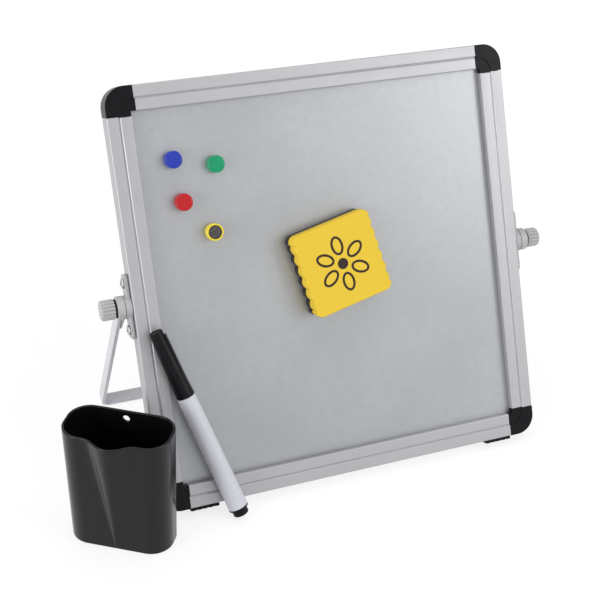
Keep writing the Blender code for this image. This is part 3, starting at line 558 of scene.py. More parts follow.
def skin(loops: Sequence[Sequence[Point3]]) -> BMesh:
    """Bridge a closed shell through loops, with its first and last loop filled.

    Args:
        loops: Loops with as many points each.

    Returns:
        The closed solid.
    """
    bm = bmesh.new()
    rings = [add_loop(bm, loop) for loop in loops]
    for lower, upper in zip(rings, rings[1:]):
        bmesh.ops.bridge_loops(bm, edges=lower + upper)
    for ring in (rings[0], rings[-1]):
        bmesh.ops.contextual_create(bm, geom=ring)
    bmesh.ops.recalc_face_normals(bm, faces=bm.faces)
    return bm


def soften(bm: BMesh, width: float, segments: int = 3, above: float = 50.0) -> BMesh:
    """Round the sharp edges of a shape.

    Args:
        bm: The shape.
        width: How far the rounding reaches.
        segments: Its segments.
        above: The least angle of an edge that is rounded, in degrees.

    Returns:
        The same bmesh.
    """
    sharp = [e for e in bm.edges if e.is_manifold and math.degrees(e.calc_face_angle(0)) > above]
    bmesh.ops.bevel(
        bm, geom=sharp, offset=width, offset_type="OFFSET", affect="EDGES", segments=segments,
        profile=0.5, clamp_overlap=True, material=-1,
    )
    return bm


def mesh_of(name: str, bm: BMesh) -> Mesh:
    """A mesh of a bmesh.

    Args:
        name: The mesh's name.
        bm: The bmesh, which is freed.

    Returns:
        The mesh.
    """
    mesh = bpy.data.meshes.new(name)
    bm.to_mesh(mesh)
    bm.free()
    return mesh


def add_object(name: str, data: ID) -> Object:
    """Add an object to the scene.

    Args:
        name: Its name.
        data: Its mesh, lamp or camera.

    Returns:
        The object.
    """
    made = bpy.data.objects.new(name, data)
    bpy.context.scene.collection.objects.link(made)
    return made


def joined(shape: BMesh, tool: BMesh, join: Join) -> BMesh:
    """Cut a tool shape out of a piece or weld it on.

    Args:
        shape: The piece, which is freed.
        tool: The tool shape, which is freed.
        join: Whether it cuts or welds.

    Returns:
        The new shape.
    """
    base, other = (add_object("scratch", mesh_of("scratch", bm)) for bm in (shape, tool))
    modifier = base.modifiers.new("join", "BOOLEAN")
    modifier.operation = join.value
    modifier.solver = "EXACT"
    modifier.object = other
    seen = base.evaluated_get(bpy.context.evaluated_depsgraph_get())
    result = bmesh.new()
    result.from_mesh(seen.to_mesh())
    for made in (base, other):
        mesh = made.data
        bpy.data.objects.remove(made)
        bpy.data.meshes.remove(mesh)
    bmesh.ops.remove_doubles(result, verts=result.verts, dist=MERGE_DISTANCE)
    return result


@dataclass(frozen=True)
class Piece:
    """A finished piece: the node that it stands for, its finish and body, and a name of its own."""

    node: str
    finish: Finish
    body: str
    name: str = ""
    lines: Lines | None = None
    smooth: float = 32.0

    def add(self, bm: BMesh, place: Matrix) -> Object:
        """Put the piece in its place and on its body.

        Args:
            bm: Its shape in its own frame, which is freed.
            place: The frame's place.

        Returns:
            The piece's object.
        """
        name = self.name or f"{self.node}_fine"
        bmesh.ops.recalc_face_normals(moved(bm, place), faces=bm.faces)
        mesh = mesh_of(name, bm)
        mesh.shade_smooth()
        mesh.set_sharp_from_angle(angle=math.radians(self.smooth))
        made = add_object(name, mesh)
        made.modifiers.new("even_shading", "WEIGHTED_NORMAL").keep_sharp = True
        mesh.materials.append(self.finish.material(place, self.lines))
        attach(made, self.body)
        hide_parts(self.node)
        LOG.info("%s: %d faces, on %s", name, len(mesh.polygons), self.body)
        return made


def dress(node: str, finish: Finish, place: Matrix) -> None:
    """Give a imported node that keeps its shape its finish.

    Args:
        node: The node's name.
        finish: The finish.
        place: The frame that the finish's pattern is laid out in.
    """
    shown = frame["nodes"][node]
    shown.data.materials.clear()
    shown.data.materials.append(finish.material(place))
    LOG.info("%s keeps its packed shape in %s", node, finish.name)


def joint(name: str) -> dict:
    """The record's joint of a name."""
    return next(item for item in frame["joints"] if item["name"] == name)


def middle(node: str) -> Vector:
    """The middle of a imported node's box."""
    low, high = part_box(node)
    return (low + high) / 2


@dataclass
class BoardFrame:
    """The leaning board: its sizes and its frame, with X to the right, Y to the back and Z up."""

    width: float = 254.0 * MM
    height: float = 254.0 * MM
    depth: float = 13.0 * MM
    pivot_depth: float = 7.8 * MM
    rail_width: float = 14.8 * MM
    rail_wall: float = 1.2 * MM
    groove_offset: float = 7.5 * MM
    corner_reach: float = 17.1 * MM
    inner_step: float = 0.5 * MM
    slot_floor: float = 10.5 * MM
    slot_front: float = 4.2 * MM
    sheet_recess: float = 4.5 * MM

    @property
    def cavity_end(self) -> float:
        """Where a rail's hollow ends, from its outer edge."""
        return self.slot_floor - self.rail_wall

    @property
    def place(self) -> Matrix:
        """The frame's place, with its origin in the middle of the lower front edge.

        Returns:
            The matrix.
        """
        right = Vector((1, 0, 0))
        back = -Vector(joint("eraser_pull")["axis"])
        up = right.cross(back)
        pivot = Vector(joint("stand_hinge")["pos_m"])
        origin = pivot - back * self.pivot_depth - up * self.height / 2
        return Matrix.Translation(origin) @ axes(right, back, up)

    def side(self, side: Side, up: float = 0.0, out: float = 0.0) -> Matrix:
        """The frame of a side piece, up from the pivot axis and out from the rail, X pointing out."""
        point = (side.value * (self.width / 2 + out), self.pivot_depth, self.height / 2 + up)
        return self.place @ at(point, side.turn)

    def corner(self, turn: int) -> Matrix:
        """The frame of a corner, with its outer corner at the origin and its arms along X and Z.

        Args:
            turn: Quarter turns from the lower left corner, clockwise seen from the front.

        Returns:
            The frame's place.
        """
        half = self.width / 2
        corners = [(-half, 0, 0), (-half, 0, self.height), (half, 0, self.height), (half, 0, 0)]
        return self.place @ at(corners[turn], turn * QUARTER, "Y")


@dataclass
class Rails:
    """The four aluminium rails."""

    board: BoardFrame
    outer_edge: float = 0.9 * MM
    inner_edge: float = 0.6 * MM
    groove_width: float = 1.5 * MM
    groove_depth: float = 0.7 * MM
    groove_lip: float = 0.1 * MM
    screw_spacing: float = 28.0 * MM
    screw_hole: float = 1.6 * MM

    def section(self) -> tuple[list[Point], list[Point]]:
        """The extrusion's section, with X from front to back and Y across it from the outer edge.

        Returns:
            Its outline and the outline of its hollow.
        """
        board, lip = self.board, self.groove_lip
        half = self.groove_width / 2
        groove = [(0, -half - lip), (lip / 2, -half), (self.groove_depth, -lip)]
        groove += [(x, -y) for x, y in reversed(groove)]
        front = arc((self.outer_edge, self.outer_edge), self.outer_edge, 3, 2, 8)
        front += [(x, board.groove_offset + y) for x, y in groove]
        front += arc((self.inner_edge, board.rail_width - self.inner_edge), self.inner_edge, 2, 1, 6)
        front += [(board.slot_front, board.rail_width), (board.slot_front, board.slot_floor)]
        back = [(board.depth - x, y) for x, y in reversed(front)]
        wall, far = board.rail_wall, board.depth - board.rail_wall
        hollow = [(wall, wall), (wall, board.cavity_end), (far, board.cavity_end), (far, wall)]
        return front + back, hollow

    def shape(self, length: float, drilled: bool) -> BMesh:
        """A rail along X, with its outer edge on Z = 0 and its front face on Y = 0.

        Args:
            length: The board's size along the rail.
            drilled: Whether it has the holes for a bracket's screws.

        Returns:
            The rail.
        """
        board = self.board
        half = length / 2 - board.corner_reach - CLEARANCE
        outline, hollow = self.section()
        rail = facing_x(prism(outline, -half, half, hollow))
        for end in (-1, 1):
            near, far = sorted((end * (half - board.inner_step), end * (half + OVERRUN)))
            low = (near, -OVERRUN, board.groove_offset)
            high = (far, board.depth + OVERRUN, board.rail_width + OVERRUN)
            rail = joined(rail, block(low, high), Join.CUT)
            if drilled:
                drill = cylinder(self.screw_hole, -OVERRUN, board.rail_wall + OVERRUN, segments=32)
                spot = at((end * self.screw_spacing / 2, board.pivot_depth, 0))
                rail = joined(rail, moved(drill, spot), Join.CUT)
        return rail

    def build(self) -> None:
        """Build and dress the four rails."""
        width, height = self.board.width, self.board.height
        places = {
            "bottom": (width, (0, 0, 0), 0, Lines.ACROSS),
            "top": (width, (0, 0, height), 2, Lines.ACROSS),
            "left": (height, (-width / 2, 0, height / 2), 1, Lines.UPWARDS),
            "right": (height, (width / 2, 0, height / 2), -1, Lines.UPWARDS),
        }
        for word, (length, point, turn, lines) in places.items():
            shape = moved(self.shape(length, lines is Lines.UPWARDS), at(point, turn * QUARTER, "Y"))
            Piece(f"{word}_rail", ANODISED, "board", lines=lines).add(shape, self.board.place)


@dataclass
class CornerCaps:
    """The four moulded corner caps."""

    board: BoardFrame
    radius: float = 12.0 * MM
    relief: float = 0.5 * MM
    edge: float = 0.3 * MM
    tongue: float = 10.0 * MM

    def relief_outline(self) -> list[Point]:
        """The lowered inner part, bounded by an arc that carries on the rails' grooves.

        Returns:
            Its outline.
        """
        board = self.board
        reach, groove = board.corner_reach, board.groove_offset
        end = reach + board.inner_step + OVERRUN
        return [(end, groove), *arc((reach, reach), reach - groove, 3, 2, 20), (groove, end), (end, end)]

    def body(self) -> BMesh:
        """The cap without its tongues, its arms along X and Z.

        Returns:
            The closed solid.
        """
        board = self.board
        reach, wide = board.corner_reach, board.rail_width
        far, step = reach + board.inner_step, board.groove_offset + CLEARANCE
        outline = arc((self.radius, self.radius), self.radius, 2, 3, 20)
        outline += [(reach, 0), (reach, step), (far, step), (far, wide), (wide, wide)]
        outline += [(wide, far), (step, far), (step, reach), (0, reach)]
        cap = facing_y(prism(outline, 0, board.depth))
        for low, high in ((-OVERRUN, self.relief), (board.depth - self.relief, board.depth + OVERRUN)):
            cap = joined(cap, facing_y(prism(self.relief_outline(), low, high)), Join.CUT)
        return soften(cap, self.edge)

    def shape(self) -> BMesh:
        """The whole cap, with its tongues and the slot for the panel's corner.

        Returns:
            The closed solid.
        """
        board, cap = self.board, self.body()
        low = board.rail_wall + CLEARANCE
        start = (board.corner_reach - OVERRUN, low, low)
        end = (board.corner_reach + self.tongue, board.depth - low, board.cavity_end - CLEARANCE)
        for turn in (Matrix.Identity(4), axes((0, 0, 1), (0, 1, 0), (1, 0, 0))):
            cap = joined(cap, moved(block(start, end), turn), Join.WELD)
        floor, far = board.slot_floor, board.corner_reach + board.inner_step + OVERRUN
        slot = block((floor, board.slot_front, floor), (far, board.depth - board.slot_front, far))
        return joined(cap, slot, Join.CUT)

    def build(self) -> None:
        """Build and dress the four caps."""
        for turn, word in enumerate(("bottom_left", "top_left", "top_right", "bottom_right")):
            Piece(f"{word}_corner_cap", BLACK_ABS, "board").add(self.shape(), self.board.corner(turn))


@dataclass
class WritingPanel:
    """The two coated sheets on their core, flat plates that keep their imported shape."""

    board: BoardFrame

    def build(self) -> None:
        """Dress the three layers."""
        for node, finish in (("front_sheet", SHEET), ("rear_sheet", SHEET), ("core_board", FIBREBOARD)):
            dress(node, finish, self.board.place)


@dataclass
class FootPads:
    """The two rubber pads under the board, each with cross grooves in its sole."""

    board: BoardFrame
    length: float = 18.0 * MM
    width: float = 11.0 * MM
    thickness: float = 1.8 * MM
    corner: float = 0.6 * MM
    edge: float = 0.25 * MM
    groove_width: float = 0.8 * MM
    groove_depth: float = 0.4 * MM
    grooves: int = 4

    def shape(self) -> BMesh:
        """A pad about its middle, its top on Z = 0.

        Returns:
            The closed solid.
        """
        pad = prism(rounded_rectangle(self.length, self.width, self.corner, 4), -self.thickness, 0)
        pad = soften(pad, self.edge)
        pitch = self.length / (self.grooves + 1)
        for i in range(self.grooves):
            x = (i + 1) * pitch - self.length / 2
            low = (x - self.groove_width / 2, -self.width, -self.thickness - OVERRUN)
            high = (x + self.groove_width / 2, self.width, -self.thickness + self.groove_depth)
            pad = joined(pad, block(low, high), Join.CUT)
        return pad

    def build(self) -> None:
        """Build and dress both pads."""
        board = self.board
        reach = board.width / 2 - board.corner_reach - CLEARANCE - self.length / 2
        for side in Side:
            spot = at((side.value * reach, board.depth / 2, -CLEARANCE))
            Piece(f"{side.label}_foot_pad", RUBBER, "board").add(self.shape(), board.place @ spot)


@dataclass
class Pivots:
    """On each side: the moulded bracket, its two screws and the captive nut."""

    board: BoardFrame
    length: float = 38.4 * MM
    width: float = 9.2 * MM
    thickness: float = 2.2 * MM
    corner: float = 2.0 * MM
    edge: float = 0.5 * MM
    boss_radius: float = 6.9 * MM
    boss_rise: float = 1.6 * MM
    boss_edge: float = 0.15 * MM
    screw_spacing: float = 28.0 * MM
    head_radius: float = 3.2 * MM
    head_height: float = 1.3 * MM
    head_rim: float = 0.5 * MM
    shank_radius: float = 1.3 * MM
    screw_length: float = 7.0 * MM
    point_length: float = 1.6 * MM
    thread_pitch: float = 0.9 * MM
    thread_depth: float = 0.25 * MM
    slot_length: float = 3.4 * MM
    slot_width: float = 0.8 * MM
    slot_depth: float = 0.8 * MM
    nut_flats: float = 7.0 * MM
    nut_thickness: float = 2.2 * MM
    stud_hole: float = 2.2 * MM
    knuckle_thickness: float = 4.4 * MM

    @property
    def face(self) -> float:
        """The plate's outer face, from the rail."""
        return CLEARANCE + self.thickness

    @property
    def boss_face(self) -> float:
        """The boss's outer face, from the rail."""
        return self.face + self.boss_rise

    def bracket(self) -> BMesh:
        """The bracket along X from the rail's face.

        Returns:
            The closed solid.
        """
        outline = rounded_rectangle(self.width, self.length, self.corner, 8)
        plate = soften(facing_x(prism(outline, CLEARANCE, self.face)), self.edge)
        rim, radius = self.boss_edge, self.boss_radius
        profile = [(0, CLEARANCE), (radius, CLEARANCE)]
        profile += [*arc((radius - rim, self.boss_face - rim), rim, 0, 1, 4), (0, self.boss_face)]
        plate = joined(plate, facing_x(turned(profile, segments=72)), Join.WELD)
        corner = (self.nut_flats + 2 * CLEARANCE) / 2 / math.cos(math.pi / 6)
        pocket = oval(corner, corner, steps=6, phase=1 / 2)
        pocket_end = CLEARANCE + self.nut_thickness + CLEARANCE
        plate = joined(plate, facing_x(prism(pocket, CLEARANCE - OVERRUN, pocket_end)), Join.CUT)
        bore = cylinder(self.stud_hole, 0, self.boss_face + OVERRUN)
        plate = joined(plate, facing_x(bore), Join.CUT)
        for way in (-1, 1):
            drill = facing_x(cylinder(self.shank_radius + CLEARANCE, 0, self.face + OVERRUN))
            plate = joined(plate, moved(drill, at((0, 0, way * self.screw_spacing / 2))), Join.CUT)
        return plate

    def screw(self) -> BMesh:
        """A pan-head screw along X, its head's underside on X = 0, its thread in ridges.

        Returns:
            The closed solid.
        """
        radius, height, rim = self.head_radius, self.head_height, self.head_rim
        crown = [(radius * x, rim + (height - rim) * y) for x, y in arc((0, 0), 1, 0, 1, 10)[:-1]]
        root = self.shank_radius - self.thread_depth
        profile = [(0, -self.screw_length)]
        for i in range(int((self.screw_length - self.point_length) / self.thread_pitch), 0, -1):
            low = -i * self.thread_pitch
            profile += [(root, low), (self.shank_radius, low + self.thread_pitch / 2)]
        profile += [(root, 0), (radius, 0), *crown, (0, height)]
        long, wide = self.slot_length / 2, self.slot_width / 2
        arm = [(long, -wide), (long, wide), (wide, wide)]
        cross = [Matrix.Rotation(i * QUARTER, 2) @ Vector(p) for i in range(4) for p in arm]
        recess = prism([(p.x, p.y) for p in cross], height - self.slot_depth, height + OVERRUN)
        return facing_x(joined(turned(profile, segments=48), recess, Join.CUT))

    def build(self) -> None:
        """Build and dress both sides."""
        for side in Side:
            place = self.board.side(side)
            Piece(f"{side.label}_pivot_bracket", GREY_ABS, "board").add(self.bracket(), place)
            dress(f"{side.label}_captive_nut", ZINC_PLATE, place)
            for word, way in (("upper", 1), ("lower", -1)):
                spot = self.board.side(side, way * self.screw_spacing / 2, self.face + CLEARANCE)
                Piece(f"{side.label}_{word}_screw", ZINC_PLATE, "board").add(self.screw(), spot)


@dataclass
class Knobs:
    """The two fluted thumb knobs with their studs and washers."""

    board: BoardFrame
    pivots: Pivots
    radius: float = 6.1 * MM
    length: float = 8.5 * MM
    flutes: int = 16
    steps_per_flute: int = 10
    flute_depth: float = 0.95 * MM
    flute_power: int = 4
    edge: float = 1.7 * MM
    base_edge: float = 0.4 * MM
    stud_grip: float = 6.5 * MM
    washer_radius: float = 5.6 * MM
    washer_thickness: float = 0.6 * MM

    def ring(self, radius: float, height: float) -> list[Point3]:
        """A fluted ring round Z: broad round ridges between narrow grooves.

        Args:
            radius: Radius over the ridges.
            height: Its place along Z.

        Returns:
            The ring's points.
        """
        steps = self.steps_per_flute * self.flutes
        depth = self.flute_depth * radius / self.radius
        points = []
        for i in range(steps):
            angle = 2 * math.pi * i / steps
            reach = radius - depth * abs(math.cos(self.flutes * angle / 2)) ** self.flute_power
            points.append((reach * math.cos(angle), reach * math.sin(angle), height))
        return points

    def knob(self) -> BMesh:
        """A knob along X from its inner face.

        Returns:
            The closed solid.
        """
        base = arc((self.radius - self.base_edge, self.base_edge), self.base_edge, 3, 4, 4)
        rounding = arc((self.radius - self.edge, self.length - self.edge), self.edge, 0, 1, 8)
        loops = [self.ring(radius, height) for radius, height in base + rounding]
        hole = cylinder(self.pivots.stud_hole, -OVERRUN, self.stud_grip + CLEARANCE, segments=32)
        return facing_x(joined(skin(loops), hole, Join.CUT))

    def build(self) -> None:
        """Build and dress both sides, each washer between knuckle and knob."""
        inner, outer, thick = self.pivots.stud_hole, self.washer_radius, self.washer_thickness
        seat = self.pivots.boss_face + CLEARANCE + self.pivots.knuckle_thickness + CLEARANCE
        for side in Side:
            body = f"{side.label}_knob_turning"
            place = self.board.side(side, 0, seat + thick + CLEARANCE)
            Piece(f"{side.label}_knob", GREY_ABS, body, smooth=40).add(self.knob(), place)
            section = [(inner, 0), (outer, 0), (outer, thick), (inner, thick)]
            washer, place = facing_x(turned(section, ring=True)), self.board.side(side, 0, seat)
            Piece(f"{side.label}_knob_washer", RUBBER, body).add(washer, place)
            dress(f"{side.label}_knob_stud", ZINC_PLATE, place)


@dataclass
class Stand:
    """The U-shaped bar and the moulded knuckle on each of its ends."""

    board: BoardFrame
    pivots: Pivots
    lean: float = math.radians(31.816)
    bar_width: float = 8.0 * MM
    bar_thickness: float = 2.5 * MM
    bar_bend: float = 7.0 * MM
    bar_edge: float = 0.5 * MM
    packed_edge: float = 0.4 * MM
    knuckle_radius: float = 7.1 * MM
    knuckle_wall: float = 0.9 * MM
    knuckle_edge: float = 0.6 * MM
    knuckle_seam: float = 0.15 * MM
    tail_length: float = 23.0 * MM
    socket_start: float = 3.0 * MM

    @property
    def place(self) -> Matrix:
        """The stand's frame: X along the pivot axis, the legs along -Z."""
        return at(joint("stand_hinge")["pos_m"], self.lean, "X")

    @property
    def leg_length(self) -> float:
        """The legs' length, which puts the crossbar's lower corner on the ground.

        Returns:
            The length from the pivot axis.
        """
        corner = self.bar_width / 2 - self.packed_edge
        height = joint("stand_hinge")["pos_m"][2]
        return (height - corner * math.sin(self.lean)) / math.cos(self.lean)

    @property
    def knuckle_start(self) -> float:
        """The knuckle's inner face, from the rail."""
        return self.pivots.boss_face + CLEARANCE

    @property
    def bar_inner(self) -> float:
        """The leg's inner face, from the rail."""
        return self.knuckle_start + self.knuckle_wall + CLEARANCE

    def bar(self) -> BMesh:
        """The bent bar, with its edges rounded.

        Returns:
            The closed solid.
        """
        inner = self.board.width / 2 + self.bar_inner
        outer = inner + self.bar_thickness
        bend, top = self.bar_bend, -self.socket_start - CLEARANCE
        tight, low = bend - self.bar_thickness, bend - self.leg_length
        right, left = (outer - bend, low), (bend - outer, low)
        outline = [(outer, top), *arc(right, bend, 4, 3, 12), *arc(left, bend, 3, 2, 12)]
        outline += [(-outer, top), (-inner, top), *arc(left, tight, 2, 3, 12)]
        outline += [*arc(right, tight, 3, 4, 12), (inner, top)]
        return soften(facing_y(prism(outline, -self.bar_width / 2, self.bar_width / 2)), self.bar_edge)

    def knuckle(self) -> BMesh:
        """A knuckle about X: a round eye with a tail that tapers down the leg's inner face.

        Returns:
            The closed solid.
        """
        start, wall = self.knuckle_start, self.knuckle_wall
        rim, seam = self.knuckle_edge, self.knuckle_seam
        end = start + self.pivots.knuckle_thickness
        shoulder = self.knuckle_radius - rim
        profile = [(0, start), *arc((self.knuckle_radius - seam, start + seam), seam, 3, 4, 5)]
        profile += [*arc((shoulder, end - rim), rim, 0, 1, 5), (0, end)]
        eye = facing_x(turned(profile, segments=72))
        tip = self.bar_width / 2
        outline = [(shoulder, 0), *arc((0, tip - self.tail_length), tip, 4, 2, 16), (-shoulder, 0)]
        tail = facing_x(prism(outline, start, start + wall))
        eye = joined(eye, soften(tail, wall / 4, 2), Join.WELD)
        low = (self.bar_inner - CLEARANCE, -tip - CLEARANCE, -self.tail_length - OVERRUN)
        high = (self.bar_inner + self.bar_thickness + CLEARANCE, tip + CLEARANCE, -self.socket_start)
        eye = joined(eye, block(low, high), Join.CUT)
        return joined(eye, facing_x(cylinder(self.pivots.stud_hole, 0, end + OVERRUN)), Join.CUT)

    def build(self) -> None:
        """Build and dress the bar and both knuckles."""
        Piece("stand_bar", POWDER_COAT, "stand").add(self.bar(), self.place)
        for side in Side:
            place = self.place @ at((side.value * self.board.width / 2, 0, 0), side.turn)
            Piece(f"{side.label}_stand_knuckle", GREY_ABS, "stand").add(self.knuckle(), place)


@dataclass
class Magnets:
    """The four button magnets; the yellow one lies on its back and shows its disc."""

    board: BoardFrame
    radius: float = 5.15 * MM
    height: float = 5.8 * MM
    edge: float = 0.9 * MM
    dish_radius: float = 3.7 * MM
    dish_depth: float = 0.3 * MM
    disc_radius: float = 3.9 * MM
    disc_thickness: float = 2.6 * MM
    disc_edge: float = 0.25 * MM
    colours: tuple[str, ...] = ("2036AE", "009866", "BE0C14", "F0DC3C")

    def cap(self) -> BMesh:
        """A cap about Z, open below for its disc, with a shallow dish in its top.

        Returns:
            The closed solid.
        """
        wide, tall, rim, dish = self.radius, self.height, self.edge, self.dish_depth
        pocket, ceiling = self.disc_radius + CLEARANCE, self.disc_thickness + CLEARANCE
        profile = [(0, ceiling), (pocket, ceiling), (pocket, 0), (wide - dish / 2, 0), (wide, dish / 2)]
        profile += [*arc((wide - rim, tall - rim), rim, 0, 1, 8), (self.dish_radius + dish, tall)]
        profile += [*arc((self.dish_radius, tall), dish, 4, 3, 4), (0, tall - dish)]
        return turned(profile)

    def disc(self) -> BMesh:
        """A disc about Z with its edges broken.

        Returns:
            The closed solid.
        """
        wide, tall, rim = self.disc_radius, self.disc_thickness, self.disc_edge
        profile = [(0, 0), *arc((wide - rim, rim), rim, 3, 4, 3)]
        return turned([*profile, *arc((wide - rim, tall - rim), rim, 0, 1, 3), (0, tall)])

    def build(self) -> None:
        """Build and dress the four magnets."""
        outward = self.board.place.to_3x3().to_4x4() @ axes((1, 0, 0), (0, 0, 1), (0, -1, 0))
        over = Matrix.Translation((0, 0, self.height)) @ axes((1, 0, 0), (0, -1, 0), (0, 0, -1))
        for colour, code in zip(("blue", "green", "red", "yellow"), self.colours):
            body = f"{colour}_magnet"
            place = at(middle(f"{body}_cap")) @ outward @ at((0, 0, -self.height / 2))
            if colour == "yellow":
                place = place @ over
            Piece(f"{body}_cap", button_plastic(colour, code), body).add(self.cap(), place)
            Piece(f"{body}_disc", FERRITE, body).add(self.disc(), place)


@dataclass
class Eraser:
    """The foam eraser with its felt, its magnet strip and a printed flower."""

    board: BoardFrame
    width: float = 52.4 * MM
    height: float = 52.6 * MM
    corner: float = 4.5 * MM
    corner_steps: int = 8
    turn: float = math.radians(13.0)
    scallops: int = 6
    steps_per_scallop: int = 10
    scallop_depth: float = 1.3 * MM
    foam_thickness: float = 8.4 * MM
    foam_edge: float = 0.9 * MM
    felt_thickness: float = 5.8 * MM
    felt_edge: float = 0.35 * MM
    fuzz: float = 0.18 * MM
    fuzz_size: float = 1.3 * MM
    strip_length: float = 36.0 * MM
    strip_width: float = 10.0 * MM
    strip_thickness: float = 1.6 * MM
    petals: int = 6
    petal_length: float = 12.0 * MM
    petal_width: float = 8.0 * MM
    petal_line: float = 1.5 * MM
    petal_reach: float = 11.6 * MM
    eye_radius: float = 3.4 * MM
    ink_thickness: float = 0.06 * MM

    @property
    def place(self) -> Matrix:
        """The eraser's frame on the sheet: Y into the board, its middle at the origin.

        Returns:
            The matrix.
        """
        board = self.board
        local = board.place.inverted() @ middle("eraser_felt")
        return board.place @ at((local.x, board.sheet_recess - CLEARANCE, local.z), -self.turn, "Y")

    def outline(self, inset: float) -> list[Point]:
        """The outline, straight above and below and scalloped at the sides.

        Args:
            inset: How far it is moved in.

        Returns:
            Its points.
        """
        wide, tall, round_by = self.width - 2 * inset, self.height - 2 * inset, self.corner - inset
        corners = rounded_rectangle(wide, tall, round_by, self.corner_steps)
        reach = self.height / 2 - self.corner
        steps = self.steps_per_scallop * self.scallops
        waves = []
        for share in (i / steps for i in range(1, steps)):
            dip = self.scallop_depth * abs(math.sin(math.pi * self.scallops * share))
            waves.append((self.width / 2 - inset - self.scallop_depth + dip, -reach + 2 * reach * share))
        upper = 2 * (self.corner_steps + 1)
        return corners[:upper] + [(-x, -y) for x, y in waves] + corners[upper:] + waves

    def layer(self, near: float, far: float, edge: float) -> BMesh:
        """A layer between two depths along Y, its front and its back, with rounded edges."""
        sides = arc((edge, near + edge), edge, 3, 2, 5) + arc((edge, far - edge), edge, 2, 1, 5)
        return skin([[(x, y, z) for x, z in self.outline(inset)] for inset, y in sides])

    def foam(self) -> BMesh:
        """The foam with the pocket for the magnet strip in its back.

        Returns:
            The closed solid.
        """
        back = -self.felt_thickness - CLEARANCE
        foam = self.layer(back - self.foam_thickness, back, self.foam_edge)
        long, wide = self.strip_length / 2 + CLEARANCE, self.strip_width / 2 + CLEARANCE
        deep = back - self.strip_thickness - CLEARANCE
        return joined(foam, block((-long, deep, -wide), (long, back + OVERRUN, wide)), Join.CUT)

    def felt(self) -> BMesh:
        """The felt, with an uneven fuzzy edge.

        Returns:
            The closed solid.
        """
        felt = self.layer(-self.felt_thickness, 0, self.felt_edge)
        for vertex in felt.verts:
            lift = noise.noise(vertex.co / self.fuzz_size) - 1 / 2
            vertex.co += Vector((vertex.co.x, 0, vertex.co.z)).normalized() * lift * self.fuzz
        return felt

    def flower(self) -> BMesh:
        """A plain six-petalled flower in thin ink.

        Returns:
            Its closed parts in one bmesh.
        """
        long, wide, line = self.petal_length / 2, self.petal_width / 2, self.petal_line
        shapes = [(oval(self.eye_radius, self.eye_radius), [], Matrix.Identity(4))]
        for i in range(self.petals):
            turn = Matrix.Rotation((i + 1 / 2) * 2 * math.pi / self.petals, 4, "Z")
            petal = turn @ at((self.petal_reach, 0, 0))
            shapes.append((oval(long - line, wide - line), oval(long, wide), petal))
        ink = bmesh.new()
        for edge, hole, spot in shapes:
            part = moved(prism(edge, -self.ink_thickness, self.ink_thickness / 2, hole), spot)
            mesh = mesh_of("ink", part)
            ink.from_mesh(mesh)
            bpy.data.meshes.remove(mesh)
        front = -self.felt_thickness - CLEARANCE - self.foam_thickness
        return moved(facing_y(ink), at((0, front, 0)))

    def build(self) -> None:
        """Build and dress the layers, the strip and the print."""
        place = self.place
        foam = Piece("eraser_foam", FOAM, "eraser").add(self.foam(), place)
        felt = Piece("eraser_felt", FELT, "eraser").add(self.felt(), place)
        dress("eraser_magnet_strip", MAGNET_RUBBER, place)
        Piece("eraser_foam", PRINT_INK, "eraser", "eraser_flower_print").add(self.flower(), place)


